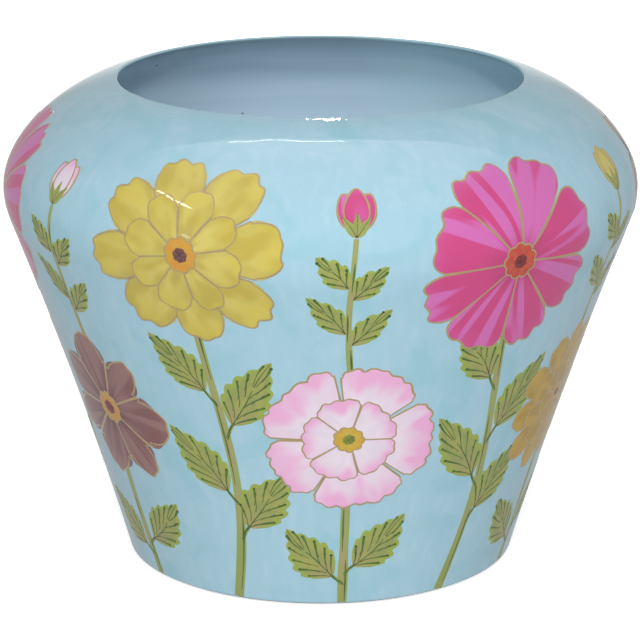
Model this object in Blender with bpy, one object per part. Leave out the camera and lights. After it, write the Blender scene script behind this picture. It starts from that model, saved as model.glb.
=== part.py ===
"""An enamelled sheet-steel flower vase, built the way a metal spinner builds one.

A rolled cone stands on a flange turned in at its foot, and a flat bottom disc is dropped in onto that
flange. A spun shoulder, which carries the widest girth and the mouth, laps over the joggled top edge of
the cone. Both seams are brazed from the inside. One coat of enamel covers the outside and wraps over
the lip, one covers the inside with the floor, and one covers the recess under the bottom. The foot
flange stays bare where it stands.

Sizes are in metres, +Z is up, and the origin is the centre of the foot on the table.
"""

import math

import bmesh
import bpy
import numpy as np

# The outer face of the bare steel
FOOT_RADIUS = 0.0600  # where the flat foot begins to turn up
HEEL_RADIUS = 0.0020  # bend between the foot and the wall
GIRTH_RADIUS = 0.0995
GIRTH_HEIGHT = 0.1200
GIRTH_BLEND = 0.0270  # bend between the wall and the girth
MOUTH_RADIUS = 0.0642
MOUTH_HEIGHT = 0.1533
MOUTH_SLOPE = math.radians(12.3)  # fall of the shoulder away from the mouth
SHOULDER_RISE = 0.0141  # how far the shoulder climbs upright before it turns in
SHOULDER_REACH = 0.0178  # how far the mouth's slope is held outwards
WALL_HOLLOW = 0.0012  # how far the wall bends in between the foot and the girth

# Stock and coats
SHEET = 0.0006
DISC_SHEET = 0.0008
COAT = 0.0002
FIT = 0.00025  # clearance between pieces that touch

# Seams
FOOT_FLANGE = 0.0080  # width of the turned-in foot
SEAM_DROP = 0.0070  # how far down the straight wall the shoulder's lower edge lies
JOGGLE = 0.0030  # length of the step at the cone's top edge
LAP = 0.0045  # how far the cone reaches up inside the shoulder
BASE_BRAZE = 0.0018  # leg of the brazed fillet round the bottom disc
GIRTH_BRAZE = 0.0020  # length of the brazed fillet above the lap
HEEL_BARE = math.radians(52)  # turn of the heel that stays bare, from the foot upwards

# Fineness
SIDES = 48
HEEL_STEPS = 3
WALL_STEPS = 5
BLEND_STEPS = 3
SHOULDER_STEPS = 8
LIP_STEPS = 4
FILLET_STEPS = 4
FINE = 60  # points on each stretch of the measured outline
SHARP = math.radians(35)  # edges that turn by more than this stay crisp
WELD = 1e-7


def direction(angle):
    """The unit vector at this angle from the radial axis, towards +Z."""
    return np.array([math.cos(angle), math.sin(angle)])


def arc(centre, radius, start, end, steps):
    """Points along a circle's arc, both ends included."""
    return [np.asarray(centre) + radius * direction(a) for a in np.linspace(start, end, steps + 1)]


def wall_lean():
    """Angle between the wall and the upright, from the line that touches the heel's and the girth's arcs."""
    across = GIRTH_RADIUS - GIRTH_BLEND - FOOT_RADIUS
    up = GIRTH_HEIGHT - HEEL_RADIUS
    return math.acos((HEEL_RADIUS - GIRTH_BLEND) / math.hypot(across, up)) - math.atan2(up, across)


def shoulder_curve():
    """A cubic curve that leaves the girth upright and reaches the mouth at its slope."""
    girth = np.array([GIRTH_RADIUS, GIRTH_HEIGHT])
    mouth = np.array([MOUTH_RADIUS, MOUTH_HEIGHT])
    rise = girth + [0, SHOULDER_RISE]
    reach = mouth + SHOULDER_REACH * direction(-MOUTH_SLOPE)
    return [
        (1 - t) ** 3 * girth + 3 * (1 - t) ** 2 * t * rise + 3 * (1 - t) * t**2 * reach + t**3 * mouth
        for t in np.linspace(0, 1, FINE + 1)
    ]


class Skin:
    """The outer face of the steel from the foot to the mouth, measured by its length along the outline."""

    def __init__(self):
        lean = wall_lean()
        heel = arc((FOOT_RADIUS, HEEL_RADIUS), HEEL_RADIUS, -math.pi / 2, -lean, FINE)
        blend = arc((GIRTH_RADIUS - GIRTH_BLEND, GIRTH_HEIGHT), GIRTH_BLEND, -lean, 0, FINE)
        wall = [
            heel[-1] + t * (blend[0] - heel[-1]) - 4 * t * (1 - t) * WALL_HOLLOW * direction(-lean)
            for t in np.linspace(0, 1, FINE + 1)
        ]
        self.points = np.array(heel + wall[1:] + blend[1:] + shoulder_curve()[1:])
        steps = np.linalg.norm(np.diff(self.points, axis=0), axis=1)
        self.lengths = np.concatenate([[0], np.cumsum(steps)])
        tangents = np.gradient(self.points, self.lengths, axis=0)
        self.normals = np.stack([tangents[:, 1], -tangents[:, 0]], axis=1)

    def end(self, stretch):
        """The length at which this stretch ends: 0 the heel, 1 the wall, 2 the blend, 3 the shoulder."""
        return self.lengths[FINE * (stretch + 1)]

    def normal(self, length):
        """The unit normal at this length, pointing out of the vase."""
        normal = np.array([np.interp(length, self.lengths, column) for column in self.normals.T])
        return normal / np.linalg.norm(normal)

    def at(self, length, depth=0.0):
        """The point this far along the skin and this deep inside it. A negative depth lies outside."""
        point = np.array([np.interp(length, self.lengths, column) for column in self.points.T])
        return point - depth * self.normal(length)

    def length_at_height(self, height, depth):
        """How far along the skin the face at this depth first reaches this height, on the wall."""
        low, high = self.end(0) / 2, self.end(1)
        for _ in range(FINE):
            middle = (low + high) / 2
            low, high = (middle, high) if self.at(middle, depth)[1] < height else (low, middle)
        return low


SKIN = Skin()
HEEL_END, WALL_END, GIRTH, MOUTH = (SKIN.end(stretch) for stretch in range(4))
LAP_START = WALL_END - SEAM_DROP  # the shoulder's lower edge
LAP_END = LAP_START + LAP  # the cone's upper edge
BRAZE_START = LAP_END + FIT
BRAZE_END = BRAZE_START + GIRTH_BRAZE
BRAZE_COVER = BRAZE_START + GIRTH_BRAZE * (SHEET + FIT) / SHEET  # where the inside coat is clear of it
STATIONS = sorted([
    *np.linspace(0, HEEL_END, HEEL_STEPS + 1),
    *np.linspace(HEEL_END, LAP_START - JOGGLE, WALL_STEPS + 1)[1:],
    LAP_START,
    LAP_END,
    BRAZE_COVER,
    *np.linspace(WALL_END, GIRTH, BLEND_STEPS + 1),
    *np.linspace(GIRTH, MOUTH, SHOULDER_STEPS + 1)[1:],
])


def stations(first, last):
    """The shared stations between two lengths, with those two as the ends."""
    kept = [first]
    for length in STATIONS:
        if kept[-1] + FIT < length < last - FIT:
            kept.append(length)
    return [*kept, last]


def face(first, last, depth):
    """One face of a sheet or coat between two lengths. Its depth is a function of the length."""
    return [SKIN.at(length, depth(length)) for length in stations(first, last)]


def even(depth):
    """A depth that stays the same."""
    return lambda length: depth


def ramped(*corners):
    """A depth that runs straight between corners given as (length along the skin, depth)."""
    lengths, depths = zip(*corners)
    return lambda length: float(np.interp(length, lengths, depths))


def lip(radius):
    """A half turn round the sheet's cut edge at the mouth, from its outer side to its inner side."""
    normal = SKIN.normal(MOUTH)
    along = np.array([-normal[1], normal[0]])
    centre = SKIN.at(MOUTH, SHEET / 2)
    turns = np.linspace(0, math.pi, LIP_STEPS + 1)
    return [centre + radius * (math.cos(a) * normal + math.sin(a) * along) for a in turns]


def material(name, colour, roughness, metallic):
    """A plain finish with this colour, roughness and metallic value."""
    made = bpy.data.materials.new(name)
    made.use_nodes = True
    shader = made.node_tree.nodes["Principled BSDF"]
    shader.inputs["Base Color"].default_value = (*colour, 1.0)
    shader.inputs["Roughness"].default_value = roughness
    shader.inputs["Metallic"].default_value = metallic
    return made


def group(name):
    """An empty on the vase's axis that carries some of the pieces."""
    empty = bpy.data.objects.new(name, None)
    bpy.context.scene.collection.objects.link(empty)
    return empty


def turned(name, section, finish, parent):
    """A solid of revolution about Z. Its section is a closed loop, or a line with both ends on the axis."""
    body = bmesh.new()
    corners = [body.verts.new((r, 0.0, z)) for r, z in section]
    closed = section[0][0] > WELD
    pairs = list(zip(corners, corners[1:])) + ([(corners[-1], corners[0])] if closed else [])
    edges = [body.edges.new(pair) for pair in pairs]
    bmesh.ops.spin(
        body,
        geom=corners + edges,
        cent=(0, 0, 0),
        axis=(0, 0, 1),
        angle=2 * math.pi,
        steps=SIDES,
        use_merge=True,
    )
    bmesh.ops.remove_doubles(body, verts=body.verts, dist=WELD)
    bmesh.ops.dissolve_degenerate(body, dist=WELD, edges=body.edges)
    bmesh.ops.recalc_face_normals(body, faces=body.faces)
    mesh = bpy.data.meshes.new(name)
    body.to_mesh(mesh)
    body.free()
    mesh.shade_smooth()
    mesh.set_sharp_from_angle(angle=SHARP)
    mesh.materials.append(finish)
    made = bpy.data.objects.new(name, mesh)
    bpy.context.scene.collection.objects.link(made)
    made.parent = parent
    return made


def disc(name, radius, bottom, thickness, finish, parent):
    """A flat round plate on the vase's axis, placed by its underside."""
    made = turned(name, [(0, 0), (radius, 0), (radius, thickness), (0, thickness)], finish, parent)
    made.location.z = bottom
    return made


DISC_BOTTOM = SHEET + FIT
DISC_TOP = DISC_BOTTOM + DISC_SHEET
FLOOR_LOW = DISC_TOP + FIT  # the underside of what lies on the bottom disc
WALL_CLEAR = SHEET + FIT  # how deep inside the skin the next layer on the wall begins
LAP_CLEAR = 2 * WALL_CLEAR  # the same where the cone and the shoulder lie one on the other


def lower_body(finish, parent):
    """The cone: foot flange, heel, wall, and the joggled edge that the shoulder laps over."""
    outer = ramped((LAP_START - JOGGLE, 0), (LAP_START, WALL_CLEAR))
    flange_edge = FOOT_RADIUS - FOOT_FLANGE
    outside = face(0, LAP_END, outer)
    inside = face(0, LAP_END, lambda length: outer(length) + SHEET)
    section = [(flange_edge, SHEET), (flange_edge, 0)] + outside + inside[::-1]
    turned("lower_body", section, finish, parent)


def shoulder(finish, parent):
    """The spun shoulder, from its lower edge over the cone's joggle to the rounded edge of the mouth."""
    outside = face(LAP_START, MOUTH, even(0))
    inside = face(LAP_START, MOUTH, even(SHEET))
    turned("shoulder", outside[:-1] + lip(SHEET / 2) + inside[-2::-1], finish, parent)


def base_braze(finish, parent):
    """The fillet of brazing in the corner between the bottom disc and the wall."""
    corner = SKIN.length_at_height(FLOOR_LOW, WALL_CLEAR)
    root = SKIN.at(corner, WALL_CLEAR)
    top = SKIN.at(corner + BASE_BRAZE, WALL_CLEAR)
    turned("base_braze", [(root[0] - BASE_BRAZE, FLOOR_LOW), root, top], finish, parent)


def girth_braze(finish, parent):
    """The fillet of brazing that closes the lap, on the cone's upper edge inside the shoulder."""
    root = SKIN.at(BRAZE_START, WALL_CLEAR)
    foot = SKIN.at(BRAZE_START, WALL_CLEAR + SHEET)
    top = SKIN.at(BRAZE_END, WALL_CLEAR)
    turned("girth_braze", [root, top, foot], finish, parent)


def outside_enamel(finish, parent):
    """The coat from the heel up the wall and shoulder, over the lip, and just round its inner edge."""
    start = HEEL_END * HEEL_BARE / (math.pi / 2 - wall_lean())
    outside = face(start, MOUTH, even(-FIT - COAT))
    inside = face(start, MOUTH, even(-FIT))
    over = lip(SHEET / 2 + FIT + COAT)
    under = lip(SHEET / 2 + FIT)
    turned("outside_enamel", outside[:-1] + over + under[::-1] + inside[-2::-1], finish, parent)


def floor_fillet():
    """Radius of the inside coat's corner, just wide enough to clear the brazing under it."""
    half_corner = (math.pi / 2 + wall_lean()) / 2
    needed = BASE_BRAZE * math.cos(half_corner) + FIT
    return 1.1 * needed / (1 / math.sin(half_corner) - 1)


def inside_enamel(finish, parent):
    """The coat on the inside, from the lip down over the lap and the brazing to the middle of the floor."""
    lean = wall_lean()
    back = ramped(
        (LAP_START - JOGGLE, WALL_CLEAR),
        (LAP_START, LAP_CLEAR),
        (BRAZE_START, LAP_CLEAR),
        (BRAZE_COVER, WALL_CLEAR),
    )
    radius = floor_fillet()
    corner = SKIN.at(SKIN.length_at_height(FLOOR_LOW, WALL_CLEAR), WALL_CLEAR)
    height = FLOOR_LOW + radius
    across = (corner @ direction(-lean) - radius + height * math.sin(lean)) / math.cos(lean)
    centre = (across, height)
    wall_start = SKIN.length_at_height(height - radius * math.sin(lean), WALL_CLEAR)
    hidden = [(0, FLOOR_LOW)] + arc(centre, radius, -math.pi / 2, -lean, FILLET_STEPS)
    shown = [(0, FLOOR_LOW + COAT)] + arc(centre, radius - COAT, -math.pi / 2, -lean, FILLET_STEPS)
    end = MOUTH - FIT
    hidden += face(wall_start, end, back)[1:]
    shown += face(wall_start, end, lambda length: back(length) + COAT)[1:]
    turned("inside_enamel", hidden + shown[::-1], finish, parent)


def main():
    """Clears the scene and builds the vase: the steelwork and its brazing first, then the coats."""
    for old in list(bpy.data.objects):
        bpy.data.objects.remove(old, do_unlink=True)
    steel = material("mild steel sheet", (0.42, 0.43, 0.44), 0.45, 1.0)
    bottom_steel = material("mild steel bottom plate", (0.40, 0.41, 0.42), 0.50, 1.0)
    brass = material("brazing brass", (0.62, 0.44, 0.18), 0.40, 1.0)
    blue = material("pale blue enamel", (0.37, 0.57, 0.67), 0.08, 0.0)
    lining = material("grey-blue lining enamel", (0.30, 0.45, 0.55), 0.15, 0.0)

    steelwork = group("steelwork")
    lower_body(steel, steelwork)
    disc("base_disc", FOOT_RADIUS, DISC_BOTTOM, DISC_SHEET, bottom_steel, steelwork)
    shoulder(steel, steelwork)
    base_braze(brass, steelwork)
    girth_braze(brass, steelwork)

    enamel = group("enamel")
    outside_enamel(blue, enamel)
    inside_enamel(lining, enamel)
    recess_radius = FOOT_RADIUS - FOOT_FLANGE - FIT
    disc("underside_enamel", recess_radius, DISC_BOTTOM - FIT - COAT, COAT, lining, enamel)


main()
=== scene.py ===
import logging
import math
from dataclasses import dataclass, field
from enum import Enum
from typing import Any, Optional, Union

import bpy
import numpy as np
from mathutils import Matrix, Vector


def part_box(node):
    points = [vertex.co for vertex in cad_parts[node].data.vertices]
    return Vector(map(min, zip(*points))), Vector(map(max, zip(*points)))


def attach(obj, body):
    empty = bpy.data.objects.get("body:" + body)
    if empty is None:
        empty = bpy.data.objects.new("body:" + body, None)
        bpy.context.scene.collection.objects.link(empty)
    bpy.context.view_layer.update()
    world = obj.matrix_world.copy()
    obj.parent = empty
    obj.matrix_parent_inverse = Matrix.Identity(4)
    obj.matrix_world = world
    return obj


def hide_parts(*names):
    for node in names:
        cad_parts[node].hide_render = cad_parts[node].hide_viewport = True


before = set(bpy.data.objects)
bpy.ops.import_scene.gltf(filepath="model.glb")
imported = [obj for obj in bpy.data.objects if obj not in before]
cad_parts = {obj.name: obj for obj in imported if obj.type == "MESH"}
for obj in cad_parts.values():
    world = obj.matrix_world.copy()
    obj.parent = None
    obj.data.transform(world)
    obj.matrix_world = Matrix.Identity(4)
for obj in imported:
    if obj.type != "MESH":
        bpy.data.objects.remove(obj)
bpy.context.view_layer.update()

"""The looks of a hand-painted enamel flower vase, built round its packed steelwork.

The vase is a coat of pale blue enamel with garden flowers painted on it in six upright plants and six
low ones, outlined in gold. Lengths are in metres, with MM for sizes that read better in millimetres.
Paint is laid out on the unrolled wall. A place there is a complex number: the real part runs round the
vase from the plant's own upright line, and the imaginary part is the length along the outline from the
foot, so that a turn is a product.
"""

MM = 0.001
TURN = 2 * math.pi
SINK = 0.02 * MM  # how far the edge of a patch of paint lies under the enamel's face
DEEP = 3 * SINK  # how far its hidden face does
FACTOR, COLOUR_A, COLOUR_B, COLOUR_OUT = 0, 6, 7, 2  # sockets of a colour Mix node
RIPPLE_MM = 13.0  # width of the slow waves in the lacquer
RIPPLE_DEPTH = 0.14 * MM
STREAK_DEPTH = 0.04 * MM  # depth of the brush marks in the paint
# the shader's inputs for matt paint under clear lacquer, which alone shines
LACQUER = {"Roughness": 0.5, "Specular IOR Level": 0.0, "Coat Weight": 1.0, "Coat Roughness": 0.04}
Array = np.ndarray
Numbers = Union[float, np.ndarray]
Socket = bpy.types.NodeSocket
Setting = Union[float, tuple, Socket]
Surface = tuple[dict[str, Setting], dict[str, tuple[Socket, float]]]
log = logging.getLogger("enamel_vase")


def linear(hex_colour: str) -> tuple[float, float, float, float]:
    """Turns an sRGB hex colour to linear light.

    Args:
        hex_colour: six hex digits after a #.

    Returns:
        Red, green, blue and an alpha of one.
    """
    channels = [int(hex_colour[i:i + 2], 16) / 255 for i in (1, 3, 5)]
    return (*(c / 12.92 if c <= 0.04045 else ((c + 0.055) / 1.055) ** 2.4 for c in channels), 1.0)


def per_metre(millimetres: float) -> float:
    """The texture scale whose features are about this many millimetres wide."""
    return 1 / (millimetres * MM)


def add_node(
    tree: bpy.types.NodeTree,
    kind: str,
    settings: Optional[dict[str, Any]] = None,
    inputs: Optional[dict[Union[str, int], Setting]] = None,
) -> bpy.types.Node:
    """Adds a node with its settings and links.

    Args:
        tree: the material's node tree.
        kind: the node's type name, less the word that they all start with.
        settings: the node's own options.
        inputs: a value, or the socket to link, for each input by its name or number.

    Returns:
        The new node.
    """
    node = tree.nodes.new("ShaderNode" + kind)
    for name, value in (settings or {}).items():
        setattr(node, name, value)
    for socket, value in (inputs or {}).items():
        if isinstance(value, Socket):
            tree.links.new(value, node.inputs[socket])
        else:
            node.inputs[socket].default_value = value
    return node


def tint(
    tree: bpy.types.NodeTree,
    colour: Setting,
    value: Socket,
    start: float,
    full: float,
    most: float,
    shade: str,
) -> Socket:
    """Lays a shade over a colour, by a share that rises smoothly as a value goes from start to full.

    Args:
        tree: the material's node tree.
        colour: the colour below.
        value: what the share follows.
        start: the value where the share is none.
        full: the value where it is at its most.
        most: that largest share.
        shade: the hex colour laid over.

    Returns:
        The new colour.
    """
    share = add_node(tree, "MapRange", {"interpolation_type": "SMOOTHSTEP"}, {
        "Value": value, "From Min": start, "From Max": full, "To Max": most})
    return add_node(tree, "Mix", {"data_type": "RGBA"}, {
        FACTOR: share.outputs[0], COLOUR_A: colour, COLOUR_B: linear(shade)}).outputs[COLOUR_OUT]


def lacquer_ripple(tree: bpy.types.NodeTree, place: Socket) -> Socket:
    """The slow waves in the lacquer, which runs over the ground and the flowers alike.

    Args:
        tree: the material's node tree.
        place: the place on the vase.

    Returns:
        The waves' height, from 0 to 1.
    """
    return add_node(tree, "TexNoise", None, {
        "Vector": place, "Scale": per_metre(RIPPLE_MM), "Detail": 1.5, "Roughness": 0.35}).outputs["Fac"]


@dataclass(frozen=True)
class Finish:
    """A surface finish, made once as a material under its name."""

    name: str

    def material(self) -> bpy.types.Material:
        """Makes the finish's material at the first call, and finds it again at the others.

        Returns:
            The material.
        """
        made = bpy.data.materials.get(self.name)
        if made is None:
            made = bpy.data.materials.new(self.name)
            made.use_nodes = True
            tree = made.node_tree
            tree.nodes.clear()
            inputs, reliefs = self.dress(tree)
            for normal, (height, depth) in reliefs.items():
                inputs[normal] = add_node(tree, "Bump", None, {
                    "Strength": 1.0, "Distance": depth, "Height": height}).outputs["Normal"]
            shader = add_node(tree, "BsdfPrincipled", None, inputs)
            add_node(tree, "OutputMaterial", None, {"Surface": shader.outputs["BSDF"]})
        return made

    def dress(self, tree: bpy.types.NodeTree) -> Surface:
        """Adds the finish's own nodes.

        Args:
            tree: the material's node tree.

        Returns:
            The shader's inputs, and the height and depth of the relief that lifts each of its normals.
        """
        raise NotImplementedError


@dataclass(frozen=True)
class GroundEnamel(Finish):
    """Pale blue enamel brushed on by hand under clear lacquer.

    The eye sees faint upright streaks and cloudy patches under a wet gloss, which ripples slowly and
    beads near the lip.
    """

    base: str = "#a3c9d9"
    thin: str = "#b1d0dc"
    thick: str = "#90c2cf"
    streak_mm: float = 3.0
    streak_length_mm: float = 60.0
    cloud_mm: float = 19.0
    bead_mm: float = 1.8
    bead_start: float = 150.0 * MM
    bead_full: float = 152.5 * MM

    def dress(self, tree: bpy.types.NodeTree) -> Surface:
        """Streaks and clouds in the colour, a slow ripple in the lacquer and small beads near the lip.

        Args:
            tree: the material's node tree.

        Returns:
            The shader's inputs and the reliefs.
        """
        place = add_node(tree, "TexCoord").outputs["Object"]
        squeeze = self.streak_mm / self.streak_length_mm
        tall = add_node(tree, "Mapping", None, {"Vector": place, "Scale": (1, 1, squeeze)}).outputs[0]
        streaks = add_node(tree, "TexNoise", None, {
            "Vector": tall, "Scale": per_metre(self.streak_mm), "Detail": 1.5,
            "Roughness": 0.5}).outputs["Fac"]
        clouds = add_node(tree, "TexNoise", None, {
            "Vector": place, "Scale": per_metre(self.cloud_mm), "Detail": 3.0, "Roughness": 0.55,
            "Distortion": 0.8}).outputs["Fac"]
        beads = add_node(tree, "TexNoise", None, {
            "Vector": place, "Scale": per_metre(self.bead_mm), "Detail": 1.0}).outputs["Fac"]
        height = add_node(tree, "SeparateXYZ", None, {0: place}).outputs["Z"]
        near_lip = add_node(tree, "MapRange", {"interpolation_type": "SMOOTHSTEP"}, {
            "Value": height, "From Min": self.bead_start, "From Max": self.bead_full,
            "To Max": 0.5}).outputs[0]
        uneven = add_node(tree, "Math", {"operation": "MULTIPLY_ADD"}, {
            0: beads, 1: near_lip, 2: lacquer_ripple(tree, place)}).outputs[0]
        colour = tint(tree, linear(self.base), streaks, 0.42, 0.80, 0.55, self.thin)
        colour = tint(tree, colour, clouds, 0.45, 0.70, 0.6, self.thick)
        return (LACQUER | {"Base Color": colour, "Coat Roughness": 0.03},
                {"Normal": (streaks, 0.03 * MM), "Coat Normal": (uneven, RIPPLE_DEPTH)})


@dataclass(frozen=True)
class LiningEnamel(Finish):
    """Plain grey-blue enamel, brushed round and round.

    The eye sees faint level rings and a gloss that is softer than the outside's. Over them lie painted
    shade, greener and darker, under the rim, at the lip and on the -X side, and painted light lower down
    the wall and on the +X side. Each of these tints has its colour, its axis, the millimetres where it
    starts and where it is full, and its largest share.
    """

    base: str = "#b7cee0"
    thin: str = "#c5d9e6"
    band_mm: float = 5.0
    band_length_mm: float = 60.0
    # painted light and shade on the lining: colour, axis, start and full in mm, and largest share
    painted_light_and_shade: tuple = (
        ("#dbf1ff", "Z", 139.5, 129.5, 1.0),  # painted light lower down the wall, below the rim's shade
        ("#d3eafa", "Z", 127.0, 125.0, 1.0),  # painted light, lighter still in the girth
        ("#a9bdc7", "Z", 143.0, 150.0, 1.0),  # painted shade under the rim
        ("#8ea3a6", "Z", 152.0, 152.8, 1.0),  # painted shade, darkest at the lip
        ("#929492", "X", -10.0, -62.0, 0.22),  # painted shade on the -X side
        ("#d4f7fc", "X", 5.0, 38.0, 0.5),  # painted light on the +X side
    )

    def dress(self, tree: bpy.types.NodeTree) -> Surface:
        """Level rings and tints in the colour, an even gloss.

        Args:
            tree: the material's node tree.

        Returns:
            The shader's inputs and the reliefs.
        """
        place = add_node(tree, "TexCoord").outputs["Object"]
        squeeze = self.band_mm / self.band_length_mm
        level = add_node(tree, "Mapping", None, {"Vector": place, "Scale": (squeeze, squeeze, 1)}).outputs[0]
        bands = add_node(tree, "TexNoise", None, {
            "Vector": level, "Scale": per_metre(self.band_mm), "Detail": 3.0}).outputs["Fac"]
        colour = tint(tree, linear(self.base), bands, 0.35, 0.70, 1.0, self.thin)
        axes = add_node(tree, "SeparateXYZ", None, {0: place}).outputs
        # lays the painted light and shade over the colour
        for shade, axis, start, full, most in self.painted_light_and_shade:
            colour = tint(tree, colour, axes[axis], start * MM, full * MM, most, shade)
        return (LACQUER | {"Base Color": colour, "Coat Weight": 0.8, "Coat Roughness": 0.12},
                {"Normal": (bands, 0.05 * MM)})


@dataclass(frozen=True)
class BareMetal(Finish):
    """Thin mild steel or brazing brass, spun and scoured.

    The eye sees fine rings round it, which spread the gloss sideways, and dull stains.
    """

    colour: str = "#8b8d8f"
    worn: str = "#6c665f"
    roughness: float = 0.42
    ring_mm: float = 0.6
    stain_mm: float = 9.0

    def dress(self, tree: bpy.types.NodeTree) -> Surface:
        """Rings from the spinning tool, stains in the colour.

        Args:
            tree: the material's node tree.

        Returns:
            The shader's inputs and the reliefs.
        """
        place = add_node(tree, "TexCoord").outputs["Object"]
        rings = add_node(tree, "TexWave", {"wave_type": "RINGS", "rings_direction": "Z"}, {
            "Vector": place, "Scale": per_metre(self.ring_mm) / TURN, "Distortion": 1.5, "Detail": 2.0})
        stains = add_node(tree, "TexNoise", None, {
            "Vector": place, "Scale": per_metre(self.stain_mm), "Detail": 4.0, "Roughness": 0.65})
        colour = tint(tree, linear(self.colour), stains.outputs["Fac"], 0.48, 0.72, 0.8, self.worn)
        return ({"Base Color": colour, "Metallic": 1.0, "Roughness": self.roughness},
                {"Normal": (rings.outputs["Fac"], 0.01 * MM)})


@dataclass(frozen=True)
class BrushPaint(Finish):
    """Artist's paint laid on in strokes that run away from the root of each petal or leaf.

    The eye sees two colours side by side where the loaded brush was dragged, and a shaded root and tip,
    all under the lacquer's gloss. It reads the paint UV map, in metres across and along the stroke, and
    two attributes: side, from -1 to 1 across the patch, and reach, from 0 at its root to 1 at its tip.
    """

    dark: str
    light: str
    root: str
    tip: str
    edge: str
    stroke_mm: float = 1.6
    stroke_length_mm: float = 26.0
    contrast: float = 0.06
    detail: float = 3.0
    root_share: float = 0.35
    tip_share: float = 0.5
    tip_start: float = 0.70
    tip_full: float = 1.0
    ragged: float = 0.5
    edge_share: float = 0.0

    def dress(self, tree: bpy.types.NodeTree) -> Surface:
        """Strokes of two colours, shaded at the root, the tip and the edge.

        Args:
            tree: the material's node tree.

        Returns:
            The shader's inputs and the reliefs.
        """
        place = add_node(tree, "UVMap", {"uv_map": "paint"}).outputs["UV"]
        reach = add_node(tree, "Attribute", {"attribute_name": "reach"}).outputs["Fac"]
        side = add_node(tree, "Attribute", {"attribute_name": "side"}).outputs["Fac"]
        drag = self.stroke_mm / self.stroke_length_mm
        along = add_node(tree, "Mapping", None, {"Vector": place, "Scale": (1, drag, 1)}).outputs[0]
        strokes = add_node(tree, "TexNoise", None, {
            "Vector": along, "Scale": per_metre(self.stroke_mm), "Detail": self.detail,
            "Roughness": 0.5}).outputs["Fac"]
        ragged = add_node(tree, "Math", {"operation": "MULTIPLY_ADD"}, {
            0: strokes, 1: self.ragged, 2: reach}).outputs[0]
        width = add_node(tree, "Math", {"operation": "ABSOLUTE"}, {0: side}).outputs[0]
        mean = self.ragged / 2
        colour = linear(self.dark)
        for value, start, full, most, shade in (
            (strokes, 0.5 - self.contrast, 0.5 + self.contrast, 1.0, self.light),
            (ragged, self.root_share + mean, mean, 0.9, self.root),
            (ragged, self.tip_start + mean, self.tip_full + mean, self.tip_share, self.tip),
            (width, 0.55, 0.9, self.edge_share, self.edge),
        ):
            colour = tint(tree, colour, value, start, full, most, shade)
        ripple = lacquer_ripple(tree, add_node(tree, "TexCoord").outputs["Object"])
        return (LACQUER | {"Base Color": colour},
                {"Normal": (strokes, STREAK_DEPTH), "Coat Normal": (ripple, RIPPLE_DEPTH)})


@dataclass(frozen=True)
class GoldPaint(Finish):
    """Bronze-powder paint drawn with a liner brush.

    The eye sees a dull dark gold, uneven as the powder lies, that glints where the light catches it.
    """

    colour: str = "#aa9068"
    pale: str = "#bba974"
    grain_mm: float = 0.9  # the powder is far finer, but would not show

    def dress(self, tree: bpy.types.NodeTree) -> Surface:
        """Powder that lies unevenly, about a third metal.

        Args:
            tree: the material's node tree.

        Returns:
            The shader's inputs and the reliefs.
        """
        place = add_node(tree, "TexCoord").outputs["Object"]
        grain = add_node(tree, "TexNoise", None, {
            "Vector": place, "Scale": per_metre(self.grain_mm), "Detail": 2.0}).outputs["Fac"]
        colour = add_node(tree, "Mix", {"data_type": "RGBA"}, {
            FACTOR: grain, COLOUR_A: linear(self.colour), COLOUR_B: linear(self.pale)}).outputs[COLOUR_OUT]
        return ({"Base Color": colour, "Metallic": 0.3, "Roughness": 0.35, "Coat Weight": 1.0,
                 "Coat Roughness": 0.04},
                {"Normal": (grain, STREAK_DEPTH), "Coat Normal": (lacquer_ripple(tree, place), RIPPLE_DEPTH)})


@dataclass(frozen=True)
class StudioPaper(Finish):
    """White seamless paper lit from below. The eye sees an even matt white."""

    colour: str = "#fbfbfb"
    glow: float = 0.53
    fibre_mm: float = 2.0  # the fibre is far finer, but would not show

    def dress(self, tree: bpy.types.NodeTree) -> Surface:
        """A matt white with a fine fibre relief.

        Args:
            tree: the material's node tree.

        Returns:
            The shader's inputs and the reliefs.
        """
        place = add_node(tree, "TexCoord").outputs["Object"]
        fibre = add_node(tree, "TexNoise", None, {"Vector": place, "Scale": per_metre(self.fibre_mm)})
        white = linear(self.colour)
        return ({"Base Color": white, "Emission Color": white, "Emission Strength": self.glow,
                 "Roughness": 0.95, "Specular IOR Level": 0.1}, {"Normal": (fibre.outputs["Fac"], 0.01 * MM)})


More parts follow.
